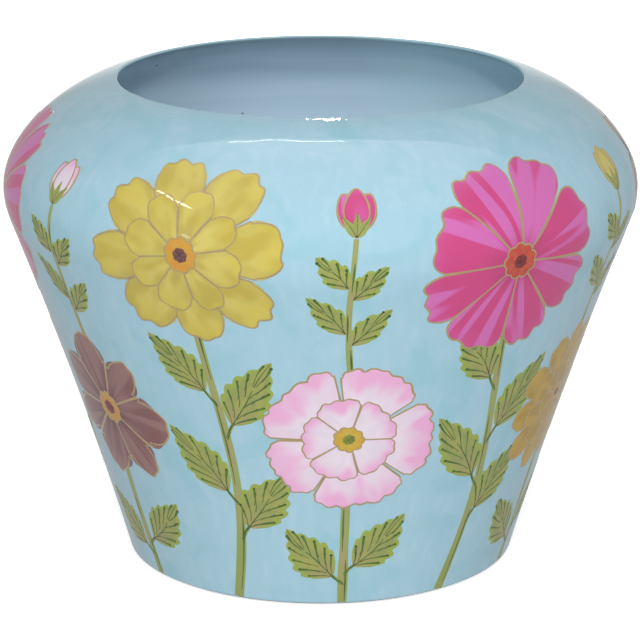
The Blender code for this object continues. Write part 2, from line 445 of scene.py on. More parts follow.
class Paint(Enum):
    """The finishes on the vase. A brush paint's five colours are dark, light, root, tip and edge."""

    GROUND = GroundEnamel("pale_blue_brushed_enamel")
    LINING = LiningEnamel("grey_blue_lining_enamel")
    UNDERSIDE = LiningEnamel("grey_blue_underside_enamel", base="#a9bfce", thin="#b3c7d4", painted_light_and_shade=())
    PIT = LiningEnamel("burnt_enamel_pinhole", base="#1a1e21", thin="#2a2f33", band_mm=1.0, painted_light_and_shade=())
    STEEL = BareMetal("spun_mild_steel")
    BRASS = BareMetal("brazing_brass", colour="#b08a45", worn="#8a6a35", roughness=0.38)
    GOLD = GoldPaint("gold_outline_paint")
    MAGENTA = BrushPaint(
        "magenta_petal_paint", "#ca4882", "#cf6cb2", "#b94477", "#cf70b2", "#c84a84",
        stroke_mm=8.0, stroke_length_mm=90.0, contrast=0.02, detail=1.0, tip_share=0.25)
    PINK = BrushPaint(
        "pale_pink_petal_paint", "#e2d2e1", "#e8dde7", "#e4dce6", "#e8aad3", "#e6c3dc", stroke_mm=6.0,
        stroke_length_mm=22.0, contrast=0.15, detail=1.0, tip_share=0.95, tip_start=0.50, tip_full=0.98,
        ragged=1.1, edge_share=0.3)
    YELLOW = BrushPaint(
        "yellow_petal_paint", "#bdaa4c", "#cdbf66", "#b9a75c", "#ccb948", "#bdae58",
        stroke_mm=7.0, stroke_length_mm=13.0, contrast=0.16, detail=1.5, ragged=1.2, edge_share=0.5)
    AMBER = BrushPaint(
        "amber_petal_paint", "#b08e3a", "#bf9f3e", "#a98552", "#c4a23c", "#b08e3a",
        stroke_mm=6.0, stroke_length_mm=11.0, contrast=0.12, detail=1.5, ragged=1.2)
    RUST = BrushPaint(
        "rust_petal_paint", "#84595a", "#946f6b", "#6f4548", "#9a766f", "#84595a",
        stroke_mm=5.0, stroke_length_mm=50.0, detail=1.5)
    LEAF = BrushPaint(
        "olive_leaf_paint", "#90995a", "#a0a25a", "#a59a68", "#9aa656", "#96ab4a",
        stroke_mm=3.5, stroke_length_mm=9.0, contrast=0.14, detail=2.0, edge_share=0.75)
    STEM = BrushPaint(
        "olive_stem_paint", "#98a065", "#a59a68", "#8e9a58", "#98a065", "#8ea74f",
        stroke_mm=2.0, stroke_length_mm=22.0, contrast=0.10, edge_share=0.9)
    VEIN = BrushPaint(
        "dark_green_vein_paint", "#46602c", "#587a34", "#3d5427", "#587a34", "#46602c", 0.8, 6.0)
    CORE_MAROON = BrushPaint(
        "maroon_core_paint", "#6e2a33", "#84393d", "#5c222b", "#8a3f40", "#7a3338", 0.8, 1.5)
    CORE_BROWN = BrushPaint(
        "purple_brown_core_paint", "#5f3f40", "#74504a", "#54363a", "#7d5a4c", "#6b4843", 0.8, 1.5)
    CORE_GREEN = BrushPaint(
        "green_core_paint", "#6a7a33", "#7f8a3e", "#5d6c2c", "#8c9246", "#74823a", 0.8, 1.5)
    EYE_RED = BrushPaint(
        "orange_red_eye_paint", "#bb4a3e", "#c35740", "#84393d", "#bf523f", "#bb4a3e", 1.4, 3.0)
    EYE_BROWN = BrushPaint(
        "brown_eye_paint", "#c89a3e", "#cc8f3c", "#7d4f55", "#c89a3e", "#c89a3e", 1.4, 3.0)
    EYE_GREEN = BrushPaint(
        "amber_green_eye_paint", "#c9a13a", "#c9ab4a", "#808743", "#c9a13a", "#c9a13a", 1.4, 3.0)


def smooth(share: Numbers) -> Array:
    """A share kept from 0 to 1 and eased at both ends, as 3t² - 2t³."""
    share = np.clip(share, 0, 1)
    return share * share * (3 - 2 * share)


def quads(ids: Array) -> Array:
    """The quads of a grid of point numbers, each running right and then up.

    Args:
        ids: point numbers, by row and column.

    Returns:
        Four point numbers for each quad.
    """
    corners = (ids[:-1, :-1], ids[:-1, 1:], ids[1:, 1:], ids[1:, :-1])
    return np.stack(corners, axis=-1).reshape(-1, 4)


def ring_quads(ids: Array) -> Array:
    """The quads of a grid whose last column joins its first."""
    return quads(np.concatenate([ids, ids[:, :1]], axis=1))


def fan(ring: Array, pole: int) -> Array:
    """The triangles from a pole to a ring of point numbers."""
    return np.stack([np.full(len(ring), pole), ring, np.roll(ring, -1)], axis=1)


@dataclass
class Outline:
    """The outer face of the steel as one line from the foot to the mouth, measured by its length.

    It runs round the heel in an arc, up the wall in a shallow hollow 4t(1-t), round the girth in a second
    arc, and over the shoulder in a cubic curve.
    """

    foot_radius: float = 60.0 * MM
    heel_radius: float = 2.0 * MM
    girth_radius: float = field(default_factory=lambda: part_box("shoulder")[1].x)
    girth_height: float = 120.0 * MM
    girth_blend: float = 27.0 * MM
    mouth_radius: float = 64.2 * MM
    mouth_height: float = 153.3 * MM
    mouth_slope: float = math.radians(12.3)
    shoulder_rise: float = 14.1 * MM
    shoulder_reach: float = 17.8 * MM
    wall_hollow: float = 1.2 * MM
    sheet: float = 0.6 * MM
    steps: int = 300

    def __post_init__(self) -> None:
        """Works out the line's points, lengths and normals."""
        across = self.girth_radius - self.girth_blend - self.foot_radius
        up = self.girth_height - self.heel_radius
        turn = math.acos((self.heel_radius - self.girth_blend) / math.hypot(across, up))
        self.lean = turn - math.atan2(up, across)
        t = np.linspace(0, 1, self.steps + 1)[:, None]
        heel = self.arc((self.foot_radius, self.heel_radius), self.heel_radius, -math.pi / 2, -self.lean)
        blend_centre = self.girth_radius - self.girth_blend
        blend = self.arc((blend_centre, self.girth_height), self.girth_blend, -self.lean, 0.0)
        outward = np.array([math.cos(self.lean), -math.sin(self.lean)])
        wall = heel[-1] + t * (blend[0] - heel[-1]) - 4 * t * (1 - t) * self.wall_hollow * outward
        girth = np.array([self.girth_radius, self.girth_height])
        mouth = np.array([self.mouth_radius, self.mouth_height])
        rise = girth + [0, self.shoulder_rise]
        slope = np.array([math.cos(self.mouth_slope), -math.sin(self.mouth_slope)])
        reach = mouth + self.shoulder_reach * slope
        shoulder = ((1 - t) ** 3 * girth + 3 * (1 - t) ** 2 * t * rise
                    + 3 * (1 - t) * t**2 * reach + t**3 * mouth)
        self.points = np.concatenate([heel, wall[1:], blend[1:], shoulder[1:]])
        gaps = np.linalg.norm(np.diff(self.points, axis=0), axis=1)
        self.lengths = np.concatenate([[0], np.cumsum(gaps)])
        tangents = np.gradient(self.points, self.lengths, axis=0)
        tangents /= np.linalg.norm(tangents, axis=1)[:, None]
        self.normals = np.stack([tangents[:, 1], -tangents[:, 0]], axis=1)
        self.heel_end, self.wall_end, self.girth, self.mouth = self.lengths[self.steps::self.steps]

    def arc(self, centre: tuple[float, float], radius: float, start: float, end: float) -> Array:
        """Points along an arc.

        Args:
            centre: its centre's distance from the axis and height.
            radius: its radius.
            start: its first angle, from straight out.
            end: its last angle.

        Returns:
            Radius and height of each point.
        """
        turns = np.linspace(start, end, self.steps + 1)[:, None]
        return np.array(centre) + radius * np.concatenate([np.cos(turns), np.sin(turns)], axis=1)

    def at(self, length: Numbers) -> tuple[Array, Array, Array, Array]:
        """The point and the unit normal at each length.

        Args:
            length: lengths along the line, in any shape.

        Returns:
            Radius, height, and the normal's radial and upward parts, each in the same shape.
        """
        columns = (*self.points.T, *self.normals.T)
        radius, height, out, up = (np.interp(length, self.lengths, column) for column in columns)
        size = np.hypot(out, up)
        return radius, height, out / size, up / size

    def length_at(self, height: float) -> float:
        """The length at which the line reaches this height."""
        return float(np.interp(height, self.points[:, 1], self.lengths))


@dataclass
class HandWork:
    """What the hand leaves on the metal: slow dents in the wall and a lip that isn't cut quite true."""

    dent: float = 0.06 * MM
    dent_waves: tuple = ((2, 60.0, 0.4), (3, -35.0, 1.9), (5, 80.0, 4.1), (8, -20.0, 2.7))
    cut: float = 0.24 * MM
    spare: float = 0.14 * MM
    cut_waves: tuple = ((2, 0.3), (5, 1.1), (9, 2.0), (14, 4.4), (23, 0.9), (37, 3.1))
    cut_fade: float = 7.0 * MM
    full: float = 1.15 * MM  # how much is left standing at the front
    full_width: float = 0.42  # and how far round, in radians

    def dents(self, theta: Numbers, length: Numbers) -> Array:
        """How far the wall is pressed in: a mean of sines of angle and length, from 0 to twice dent."""
        waves = [np.sin(n * theta + k * length + phase) for n, k, phase in self.dent_waves]
        return self.dent * (1 + sum(waves) / len(waves))

    def lip_shift(self, theta: Numbers, length: Numbers, mouth: float) -> Array:
        """How far the lip runs past or short of true, fading out down the shoulder.

        Args:
            theta: angles round the vase.
            length: lengths along the outline.
            mouth: the length of the outline at the mouth.

        Returns:
            A shift along the outline, in metres: a mean of sines of the angle and a bell that leaves the
            lip fuller at the front, times a smooth fade.
        """
        waves = sum(np.sin(n * theta + phase) for n, phase in self.cut_waves) / len(self.cut_waves)
        off_front = (theta + math.pi) % TURN - math.pi
        bell = self.full * np.exp(-((off_front / self.full_width) ** 2))
        return (self.spare + self.cut * waves + bell) * smooth(1 - (mouth - length) / self.cut_fade)


@dataclass
class Wall:
    """The wall of the vase as a surface of angle, length and lift, which coats and paint are laid on."""

    outline: Outline = field(default_factory=Outline)
    hand: HandWork = field(default_factory=HandWork)
    ground_lift: float = 0.15 * MM

    def spot(self, theta: Numbers, length: Numbers, lift: Numbers, turn: Numbers = 0.0) -> Array:
        """Points on or over the sheet.

        The point is the middle of the sheet plus half its thickness and the lift, along a direction that
        turns from the outward normal (0) over the lip (a quarter turn) to the inward one (half a turn).

        Args:
            theta: angles round the vase, from the front towards +X.
            length: lengths along the outline.
            lift: heights over the face of the sheet.
            turn: the direction's turn from the outward normal.

        Returns:
            Points, with the three coordinates in the last axis.
        """
        theta, length, lift, turn = np.broadcast_arrays(theta, length, lift, turn)
        radius, height, out, up = self.outline.at(length)
        half = self.outline.sheet / 2
        away = (half + lift) * np.cos(turn) - half - self.hand.dents(theta, length)
        along = (half + lift) * np.sin(turn) + self.hand.lip_shift(theta, length, self.outline.mouth)
        r = radius + away * out - along * up
        z = height + away * up + along * out
        return np.stack([r * np.sin(theta), -r * np.cos(theta), z], axis=-1)

    def painted(self, upright: float, place: Array, rise: Numbers) -> Array:
        """Points on the painted face.

        Args:
            upright: the angle of the plant's upright line.
            place: places on the unrolled wall.
            rise: heights over the enamel's face.

        Returns:
            Points, with the three coordinates in the last axis.
        """
        radius = self.outline.at(place.imag)[0]
        return self.spot(upright + place.real / radius, place.imag, self.ground_lift + rise)


class PieceMesh:
    """Gathers closed patches and makes one piece of them."""

    def __init__(self) -> None:
        """Starts with no patches."""
        self.points: list[Array] = []
        self.marks: list[Array] = []
        self.faces: list[tuple[Array, int]] = []
        self.paints: list[Paint] = []
        self.count = 0

    def add(self, points: Array, faces: list[Array], paint: Paint, marks: Numbers = 0.0) -> None:
        """Adds a patch.

        Args:
            points: its points, one a row.
            faces: arrays of point numbers, one face a row.
            paint: its finish.
            marks: a row for each point: metres across and along the stroke, from -1 to 1 across the
                patch, and from 0 at its root to 1 at its tip.
        """
        if paint not in self.paints:
            self.paints.append(paint)
        number = self.paints.index(paint)
        self.points.append(points)
        self.marks.append(np.broadcast_to(marks, (len(points), 4)))
        self.faces += [(face + self.count, number) for face in faces]
        self.count += len(points)

    def add_drop(self, rings: Array, top: Array, paint: Paint, inward: bool = False) -> None:
        """Adds a small dome from a ring at its foot, a ring near its top and its top.

        Args:
            rings: the points of the two rings.
            top: the top point.
            paint: its finish.
            inward: True where the rings run round the other way, as seen from outside.
        """
        count = rings.shape[1]
        ids = np.arange(2 * count).reshape(2, count)
        cap = np.roll(fan(ids[1], 2 * count), -1, axis=1)
        flip = -1 if inward else 1
        faces = [face[:, ::flip] for face in (ring_quads(ids), cap, ids[:1, ::-1])]
        self.add(np.concatenate([rings.reshape(-1, 3), top]), faces, paint)

    def build(self, name: str, slot: str, replaced: tuple = (), sharp: float = 40.0) -> bpy.types.Object:
        """Makes the piece, rides it on the vase's body and hides the CAD nodes that it stands for.

        Args:
            name: the piece's name.
            slot: a material slot's name, which is not used.
            replaced: the CAD nodes that it stands for.
            sharp: edges that turn by more degrees than this stay crisp.

        Returns:
            The new object, at the origin.
        """
        mesh = bpy.data.meshes.new(name)
        points = np.concatenate(self.points).astype(np.float32)
        marks = np.concatenate(self.marks).astype(np.float32)
        corners = np.concatenate([face.ravel() for face, _ in self.faces]).astype(np.int32)
        sizes = np.concatenate([np.full(len(face), face.shape[1]) for face, _ in self.faces])
        paints = np.concatenate([np.full(len(face), number) for face, number in self.faces])
        starts = np.concatenate([[0], np.cumsum(sizes)[:-1]]).astype(np.int32)
        mesh.vertices.add(len(points))
        mesh.vertices.foreach_set("co", points.ravel())
        mesh.loops.add(len(corners))
        mesh.loops.foreach_set("vertex_index", corners)
        mesh.polygons.add(len(sizes))
        mesh.polygons.foreach_set("loop_start", starts)
        mesh.polygons.foreach_set("material_index", paints.astype(np.int32))
        mesh.update(calc_edges=True)
        mesh.uv_layers.new(name="paint").uv.foreach_set("vector", marks[corners, :2].ravel())
        for attribute, column in (("side", 2), ("reach", 3)):
            data = mesh.attributes.new(attribute, "FLOAT", "POINT").data
            data.foreach_set("value", marks[:, column].copy())
        mesh.shade_smooth()
        mesh.set_sharp_from_angle(angle=math.radians(sharp))
        for paint in self.paints:
            mesh.materials.append(paint.value.material())
        piece = bpy.data.objects.new(name, mesh)
        bpy.context.scene.collection.objects.link(piece)
        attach(piece, "root")
        if replaced:
            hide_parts(*replaced)
        log.info("%s: %d faces", name, len(sizes))
        return piece


def turned_piece(rings: Array, paint: Paint, closed: bool) -> PieceMesh:
    """A turned shell from its rings.

    Args:
        rings: points by ring and angle. The rings run up the outside and down the inside.
        paint: the shell's finish.
        closed: True where the last ring joins the first, and False where each ends at a pole.

    Returns:
        The shell as one patch.
    """
    rows, columns, _ = rings.shape
    count = rows * columns
    ids = np.arange(count).reshape(rows, columns)
    points = rings.reshape(-1, 3)
    piece = PieceMesh()
    if closed:
        piece.add(points, [ring_quads(np.concatenate([ids, ids[:1]]))], paint)
        return piece
    poles = np.array([rings[0].mean(0), rings[-1].mean(0)])
    low = fan(ids[0], count)[:, [2, 0, 1]]
    high = fan(ids[-1], count + 1)[:, [1, 2, 0]]
    piece.add(np.concatenate([points, poles]), [ring_quads(ids), low, high], paint)
    return piece


@dataclass
class Shell:
    """The steelwork and the coats of enamel."""

    wall: Wall
    around: int = 300
    rows: int = 170
    heel_rows: int = 8
    back_rows: int = 110
    lining_rows: int = 118
    lip_rows: int = 10
    fold_rows: int = 4
    floor_rows: int = 14
    coat: float = 0.2 * MM
    fit: float = 0.25 * MM
    hair: float = 0.02 * MM  # what is left between faces that lie on each other
    flange: float = 8.0 * MM
    disc_sheet: float = 0.8 * MM
    lap_drop: float = 7.0 * MM  # how far below the girth's arc the lap of the two sheets starts
    lap: float = 7.0 * MM  # how far up it goes
    lap_ease: float = 5.0 * MM
    heel_bare: float = math.radians(52)  # how far round the heel the steel stays bare
    corner: float = 6.2 * MM  # height of the fillet round the floor
    corner_flat: float = 0.82  # and its width, as a share of that
    pole_share: float = 0.04  # the innermost ring's share of the radius
    cone_rows: tuple = (14, 20)  # round the heel, and from there up
    cone_top: float = 1.0 * MM  # how far below the lap the cone stops
    underside_rings: int = 40
    underside_pool: float = 0.15 * MM
    underside_ripple: float = 0.02 * MM
    under_lip: float = 0.8 * MM  # how far the outside coat runs down inside the lip
    lip_turn: float = math.radians(100)  # where over the lip the lining ends, from straight out
    lip_ease: float = 2.0 * MM
    pinholes: tuple = ((3.86, 157.2 * MM, 0.75 * MM), (3.42, 127.3 * MM, 0.4 * MM))
    pinhole_points: int = 12

    def angles(self) -> Array:
        """The angles of the columns, once round."""
        return np.linspace(0, TURN, self.around, endpoint=False)[None, :]

    def skin(self, length: Numbers, lift: Numbers, turn: Numbers) -> Array:
        """Rings of points on or over the sheet.

        Args:
            length: the length of each ring along the outline.
            lift: its height over the face of the sheet.
            turn: its direction's turn from the outward normal.

        Returns:
            Points by ring and angle.
        """
        length, lift, turn = (row[:, None] for row in np.broadcast_arrays(length, lift, turn))
        return self.wall.spot(self.angles(), length, lift, turn)

    def paint_coat(self) -> bpy.types.Object:
        """The outside coat: up the wall, over the lip, and back under itself.

        Returns:
            The piece.
        """
        line = self.wall.outline
        start = line.heel_end * self.heel_bare / (math.pi / 2 - line.lean)
        heel_end = line.heel_end + 1 * MM
        lip, half = line.mouth, math.pi
        parts = (  # the lengths and the turns of a run of rings, and whether it is the shown face
            (np.linspace(start, heel_end, self.heel_rows), 0, True),
            (np.linspace(heel_end, lip, self.rows - self.heel_rows + 1)[1:-1], 0, True),
            (lip, np.linspace(0, half, self.lip_rows), True),
            (lip - self.under_lip, np.array([half]), True),
            (lip - self.under_lip, np.array([half]), False),
            (lip, np.linspace(half, 0, self.fold_rows), False),
            (np.linspace(lip, start, self.back_rows)[1:], 0, False),
        )
        rings = [self.skin(length, self.wall.ground_lift if shown else self.hair, turn)
                 for length, turn, shown in parts]
        piece = turned_piece(np.concatenate(rings), Paint.GROUND, closed=True)
        return piece.build("outside_enamel_coat", "painted_enamel", ("outside_enamel",))

    def lap_swell(self, length: Numbers) -> Array:
        """How far the lining stands off where the cone lies inside the shoulder, as a smooth step.

        Args:
            length: lengths along the outline.

        Returns:
            The extra lift at each.
        """
        line = self.wall.outline
        past = length - line.wall_end + self.lap_drop
        share = smooth(1 + past / self.lap_ease) * smooth(1 + (self.lap - past) / self.lap_ease)
        return share * (self.fit + line.sheet)

    def lining(self) -> bpy.types.Object:
        """The inside coat: wall, corner fillet and floor as one skin.

        Returns:
            The piece.
        """
        line = self.wall.outline
        floor = line.sheet + self.fit + self.disc_sheet + self.fit
        start = line.length_at(floor + self.corner)
        up = np.concatenate([np.linspace(start, line.mouth, self.lining_rows),
                             np.full(self.lip_rows, line.mouth)])
        turn = np.concatenate([np.full(self.lining_rows, math.pi),
                               np.linspace(math.pi, self.lip_turn, self.lip_rows)])
        near = np.clip(1 - (line.mouth - up) / self.lip_ease, 0, 1) ** 2
        faces = []
        for lift, lip_lift in ((0.0, 0.0), (self.coat, self.wall.ground_lift + self.hair)):
            away = (self.fit + self.lap_swell(up) + lift) * (1 - near) + lip_lift * near
            skin = self.skin(up, away, turn)
            faces.append(np.concatenate([self.floor_rings(skin[0], floor + lift), skin]))
        hidden, shown = faces
        piece = turned_piece(np.concatenate([hidden, shown[::-1]]), Paint.LINING, closed=False)
        for theta, length, radius in self.pinholes:
            self.pinhole(piece, theta, length, radius)
        return piece.build("inside_enamel_lining", "lining_enamel", ("inside_enamel",))

    def pinhole(self, piece: PieceMesh, theta: float, length: float, radius: float) -> None:
        """Adds a dark pinhole that the firing left in the lining, as a low dome with a ragged edge.

        Args:
            piece: the lining.
            theta: its angle round the vase.
            length: its length along the outline.
            radius: its mean radius.
        """
        turn = np.linspace(0, TURN, self.pinhole_points, endpoint=False)
        edge = radius * (1 + 0.25 * np.sin(3 * turn + 40 * theta)) * np.array([1.0, 0.6])[:, None]
        clear = self.fit + self.coat + self.lap_swell(length)
        around = theta + edge * np.cos(turn) / self.wall.outline.at(length)[0]
        lifts = clear + np.array([-SINK, 2 * SINK])[:, None]
        rings = self.wall.spot(around, length + edge * np.sin(turn), lifts, math.pi)
        top = self.wall.spot(theta, length, clear + 2.5 * SINK, math.pi)[None]
        piece.add_drop(rings, top, Paint.PIT, inward=True)

    def floor_rings(self, wall_ring: Array, floor: float) -> Array:
        """The rings of the floor and of the fillet that joins it to the lowest ring of the wall.

        Args:
            wall_ring: the lowest ring of the wall.
            floor: the height of the floor.

        Returns:
            Rings from near the axis outwards: a flat floor, then a quarter turn of an ellipse.
        """
        radius = np.hypot(wall_ring[:, 0], wall_ring[:, 1])[None, :, None]
        rise = wall_ring[:, 2].mean() - floor
        outward = np.concatenate([wall_ring[:, :2] / radius[0], np.zeros((self.around, 1))], axis=1)[None]
        flat_end = radius - rise * self.corner_flat
        flat = np.linspace(self.pole_share, 1, self.floor_rows)[:, None, None] * flat_end
        turn = np.linspace(0, math.pi / 2, self.floor_rows)[1:-1, None, None]
        bend = flat_end + (radius - flat_end) * np.sin(turn)
        return np.concatenate([outward * flat + [0, 0, floor],
                               outward * bend + [0, 0, 1] * (floor + rise * (1 - np.cos(turn)))])

    def cone(self) -> bpy.types.Object:
        """The steel cone with its turned-in foot, fine enough for the foot to look round.

        Returns:
            The piece.
        """
        line = self.wall.outline
        top = line.wall_end - self.lap_drop - self.cone_top
        heel, wall = self.cone_rows
        up = np.concatenate([np.linspace(0, line.heel_end, heel), np.linspace(line.heel_end, top, wall)[1:]])
        inner = line.foot_radius - self.flange
        edge = self.level_rings(inner, np.array([[line.sheet], [0.0]]))
        rings = [edge, self.skin(up, 0.0, 0.0), self.skin(up[::-1], 0.0, math.pi)]
        piece = turned_piece(np.concatenate(rings), Paint.STEEL, closed=True)
        return piece.build("steel_cone", "sheet_steel", ("lower_body",))

    def level_rings(self, radius: Numbers, height: Numbers) -> Array:
        """Rings about the axis.

        Args:
            radius: the radius of each ring, one a row.
            height: the height of each ring, or of each of its points.

        Returns:
            Points by ring and angle.
        """
        angles = self.angles()
        parts = np.broadcast_arrays(radius * np.sin(angles), -radius * np.cos(angles), height)
        return np.stack(parts, axis=-1)

    def underside(self) -> bpy.types.Object:
        """The coat in the recess under the bottom plate, thicker where it pooled against the flange.

        Returns:
            The piece.
        """
        line = self.wall.outline
        share = np.linspace(self.pole_share, 1, self.underside_rings)[:, None]
        pooled = self.underside_pool * share**12
        ripple = self.underside_ripple * np.sin(9 * share * TURN + 3 * np.sin(2 * self.angles()))
        radius = (line.foot_radius - self.flange) * share
        low = self.level_rings(radius, line.sheet - self.coat - pooled + ripple * (1 - share**6))
        top = self.level_rings(radius[::-1], line.sheet)
        piece = turned_piece(np.concatenate([low, top]), Paint.UNDERSIDE, closed=False)
        return piece.build("underside_enamel_coat", "lining_enamel", ("underside_enamel",))

    def dress_hidden(self) -> None:
        """Gives the CAD nodes that stay their own metal."""
        for node, paint in (("base_disc", Paint.STEEL), ("shoulder", Paint.STEEL),
                            ("base_braze", Paint.BRASS), ("girth_braze", Paint.BRASS)):
            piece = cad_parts[node]
            piece.data.materials.clear()
            piece.data.materials.append(paint.value.material())
            log.info("%s: kept, with %s", node, paint.value.name)

    def build(self) -> None:
        """Builds every shell and coat."""
        self.cone()
        self.lining()
        self.underside()
        self.paint_coat()
        self.dress_hidden()


@dataclass(frozen=True)
class Pose2D:
    """A place on the unrolled wall with a heading, which is the angle from straight up towards the right."""

    place: complex
    heading: float = 0.0

    def out(self, local: Array) -> Array:
        """Places given from this one, by how far to the right of the heading and how far along it."""
        return self.place + local * np.exp(-1j * self.heading)

    def ahead(self, local: complex, turn: float = 0.0) -> "Pose2D":
        """Another place, given from this one, with its heading turned."""
        return Pose2D(complex(self.out(local)), self.heading + turn)


def eased(count: int, low: float = 0.0, high: float = 1.0) -> Array:
    """Numbers from low to high, closer together at both ends, as a cosine spaces them."""
    return low + (high - low) * (1 - np.cos(np.linspace(0, math.pi, count))) / 2


def evenly(path: Array, step: float) -> Array:
    """Spaces the points of a path evenly.

    Args:
        path: places on the unrolled wall.
        step: the spacing wanted.

    Returns:
        The new places.
    """
    run = np.concatenate([[0], np.cumsum(np.abs(np.diff(path)))])
    even = np.linspace(0, run[-1], max(4, round(run[-1] / step)) + 1)
    return np.interp(even, run, path)


@dataclass
class Painter:
    """Paints one piece by hand, on the wall about its upright line."""

    wall: Wall
    upright: float
    hand: np.random.Generator
    piece: PieceMesh = field(default_factory=PieceMesh)
    gold_width: float = 0.72 * MM
    line_step: float = 1.0 * MM
    shoulder: float = 0.34
    shoulder_rise: float = 0.8
    disc_rings: tuple = (0.3, 0.6, 0.85, 0.96)
    disc_fall: float = 0.02 * MM
    dab_points: int = 8
    dab_shoulder: tuple = (0.65, 0.85)

    def either(self) -> float:
        """A number from -1 to 1."""
        return float(self.hand.uniform(-1, 1))

    def vary(self, share: float) -> float:
        """A number near one, off by at most this share."""
        return 1 + share * self.either()

    def marks(self, across: Array, along: Array, side: Numbers, reach: Array) -> Array:
        """The marks of a patch's points, with its brush strokes shifted by chance.

        Args:
            across: metres across the stroke.
            along: metres along it.
            side: from -1 to 1 across the patch.
            reach: from 0 at its root to 1 at its tip.

        Returns:
            Four numbers for each point.
        """
        right, ahead = self.hand.uniform(0, 1, 2)
        return np.stack(np.broadcast_arrays(across + right, along + ahead, side, reach), axis=-1)

    def patch(self, grid: Array, rise: Array, paint: Paint, a: Array, b: Array, width: Numbers) -> None:
        """Lays a closed patch of paint from a grid of places.

        The top is the grid lifted by its rise, and the bottom is the grid sunk into the enamel. They share
        the grid's edge, which is sunk a little.

        Args:
            grid: places on the unrolled wall, by row and column.
            rise: heights over the enamel's face.
            paint: the finish.
            a: from -1 to 1 across the patch.
            b: from 0 to 1 along it.
            width: the half width that the brush strokes are scaled by, for the patch or for each row.
        """
        inside = np.zeros(grid.shape, bool)
        inside[1:-1, 1:-1] = True
        top = self.wall.painted(self.upright, grid, np.where(inside, rise, -SINK))
        bottom = self.wall.painted(self.upright, grid[inside], -DEEP)
        ids = np.arange(grid.size).reshape(grid.shape)
        under = ids.copy()
        under[inside] = grid.size + np.arange(len(bottom))
        size = math.hypot(np.ptp(grid.real), np.ptp(grid.imag))
        marks = self.marks(a * width, b * size, a, b)
        self.piece.add(np.concatenate([top.reshape(-1, 3), bottom]), [quads(ids), quads(under)[:, ::-1]],
                       paint, np.concatenate([marks.reshape(-1, 4), marks[inside]]))

    def line(self, path: Array, width: Array, rise: float, paint: Paint, closed: bool = False) -> None:
        """Draws a domed line of paint along a path.

        Its section has its two edges sunk in the enamel, two shoulders a little lower than the crown, and
        the crown.

        Args:
            path: places on the unrolled wall.
            width: the line's width at each.
            rise: the crown's height over the enamel's face.
            paint: the finish.
            closed: True where the path's end joins its start.
        """
        step = np.roll(path, -1) - np.roll(path, 1) if closed else np.gradient(path)
        size = np.maximum(np.abs(step), 1e-9)
        share = np.array([-0.5, -self.shoulder, 0.0, self.shoulder, 0.5])
        height = np.array([-SINK, self.shoulder_rise * rise, rise, self.shoulder_rise * rise, -SINK])
        across = share * width[:, None]
        grid = path[:, None] - 1j * (step / size)[:, None] * across
        points = self.wall.painted(self.upright, grid, height)
        ids = np.arange(grid.size).reshape(grid.shape)
        loop = np.concatenate([ids, ids[:1]]) if closed else ids
        faces = [quads(loop), quads(loop[:, [0, -1]])[:, ::-1]]
        if not closed:
            faces += [ids[:1, ::-1], ids[-1:]]
        reach = np.linspace(0, 1, len(path))[:, None]
        marks = self.marks(across, reach * size.sum(), 2 * share, reach)
        self.piece.add(points.reshape(-1, 3), faces, paint, marks.reshape(-1, 4))

    def gold(self, path: Array, rise: float, closed: bool = False) -> None:
        """Draws a gold outline whose width swells and thins, as a sum of two sines, as the brush turns.

        Args:
            path: places on the unrolled wall.
            rise: the crown's height over the enamel's face.
            closed: True where the path's end joins its start.
        """
        turn = np.linspace(0, TURN, len(path), endpoint=not closed)
        slow, quick = self.hand.uniform(0, TURN, 2)
        swell = 1 + 0.14 * np.sin(3 * turn + slow) + 0.1 * np.sin(7 * turn + quick)
        self.line(path, self.gold_width * swell, rise, Paint.GOLD, closed)

    def disc(self, middle: Pose2D, outline: Array, rise: float, paint: Paint) -> None:
        """Lays a round patch inside an outline, domed by the square of the way out.

        Args:
            middle: its centre.
            outline: its outline from the centre, at even angles.
            rise: its height over the enamel's face at the centre.
            paint: the finish.
        """
        shares = np.array(self.disc_rings)[:, None]
        count, rows = len(outline), len(shares)
        centre, rings = np.array([middle.place]), middle.out(shares * outline)
        parts = ((rings, rise - self.disc_fall * shares**2), (rings, -DEEP), (centre, rise), (centre, -DEEP),
                 (middle.out(outline), -SINK))
        points = [self.wall.painted(self.upright, place, lift).reshape(-1, 3) for place, lift in parts]
        ids = np.arange(rows * count).reshape(rows, count)
        pole = 2 * rows * count
        border = pole + 2 + np.arange(count)[None]
        faces = []
        for inner, tip, flip in ((ids, pole, 1), (ids + rows * count, pole + 1, -1)):
            faces += [ring_quads(np.concatenate([inner, border]))[:, ::-flip], fan(inner[0], tip)[:, ::flip]]
        turn = np.linspace(0, TURN, count, endpoint=False)
        reach = np.concatenate([np.tile(np.repeat(shares[:, 0], count), 2), [0, 0], np.ones(count)])
        angle = np.concatenate([np.tile(turn, 2 * rows), [0, 0], turn])
        radius = float(np.abs(outline).mean())
        marks = self.marks(angle * radius / 2, reach * radius, 0.0, reach)
        self.piece.add(np.concatenate(points), faces, paint, marks)

    def lobed(self, radius: float, lobes: int, lobe: float, count: int) -> Array:
        """A round outline with lobes: radius times one plus lobe times the size of a sine.

        Args:
            radius: its mean radius.
            lobes: how many lobes it has.
            lobe: their height as a share of the radius.
            count: how many points are wanted.

        Returns:
            The outline from its centre.
        """
        turn = np.linspace(0, TURN, count, endpoint=False)
        wave = 2 * np.abs(np.sin(lobes * turn / 2)) - 1.27  # less its own mean
        slow = 0.04 * np.sin(2 * turn + self.hand.uniform(0, TURN))
        return radius * (1 + lobe * wave + slow) * np.exp(1j * turn)

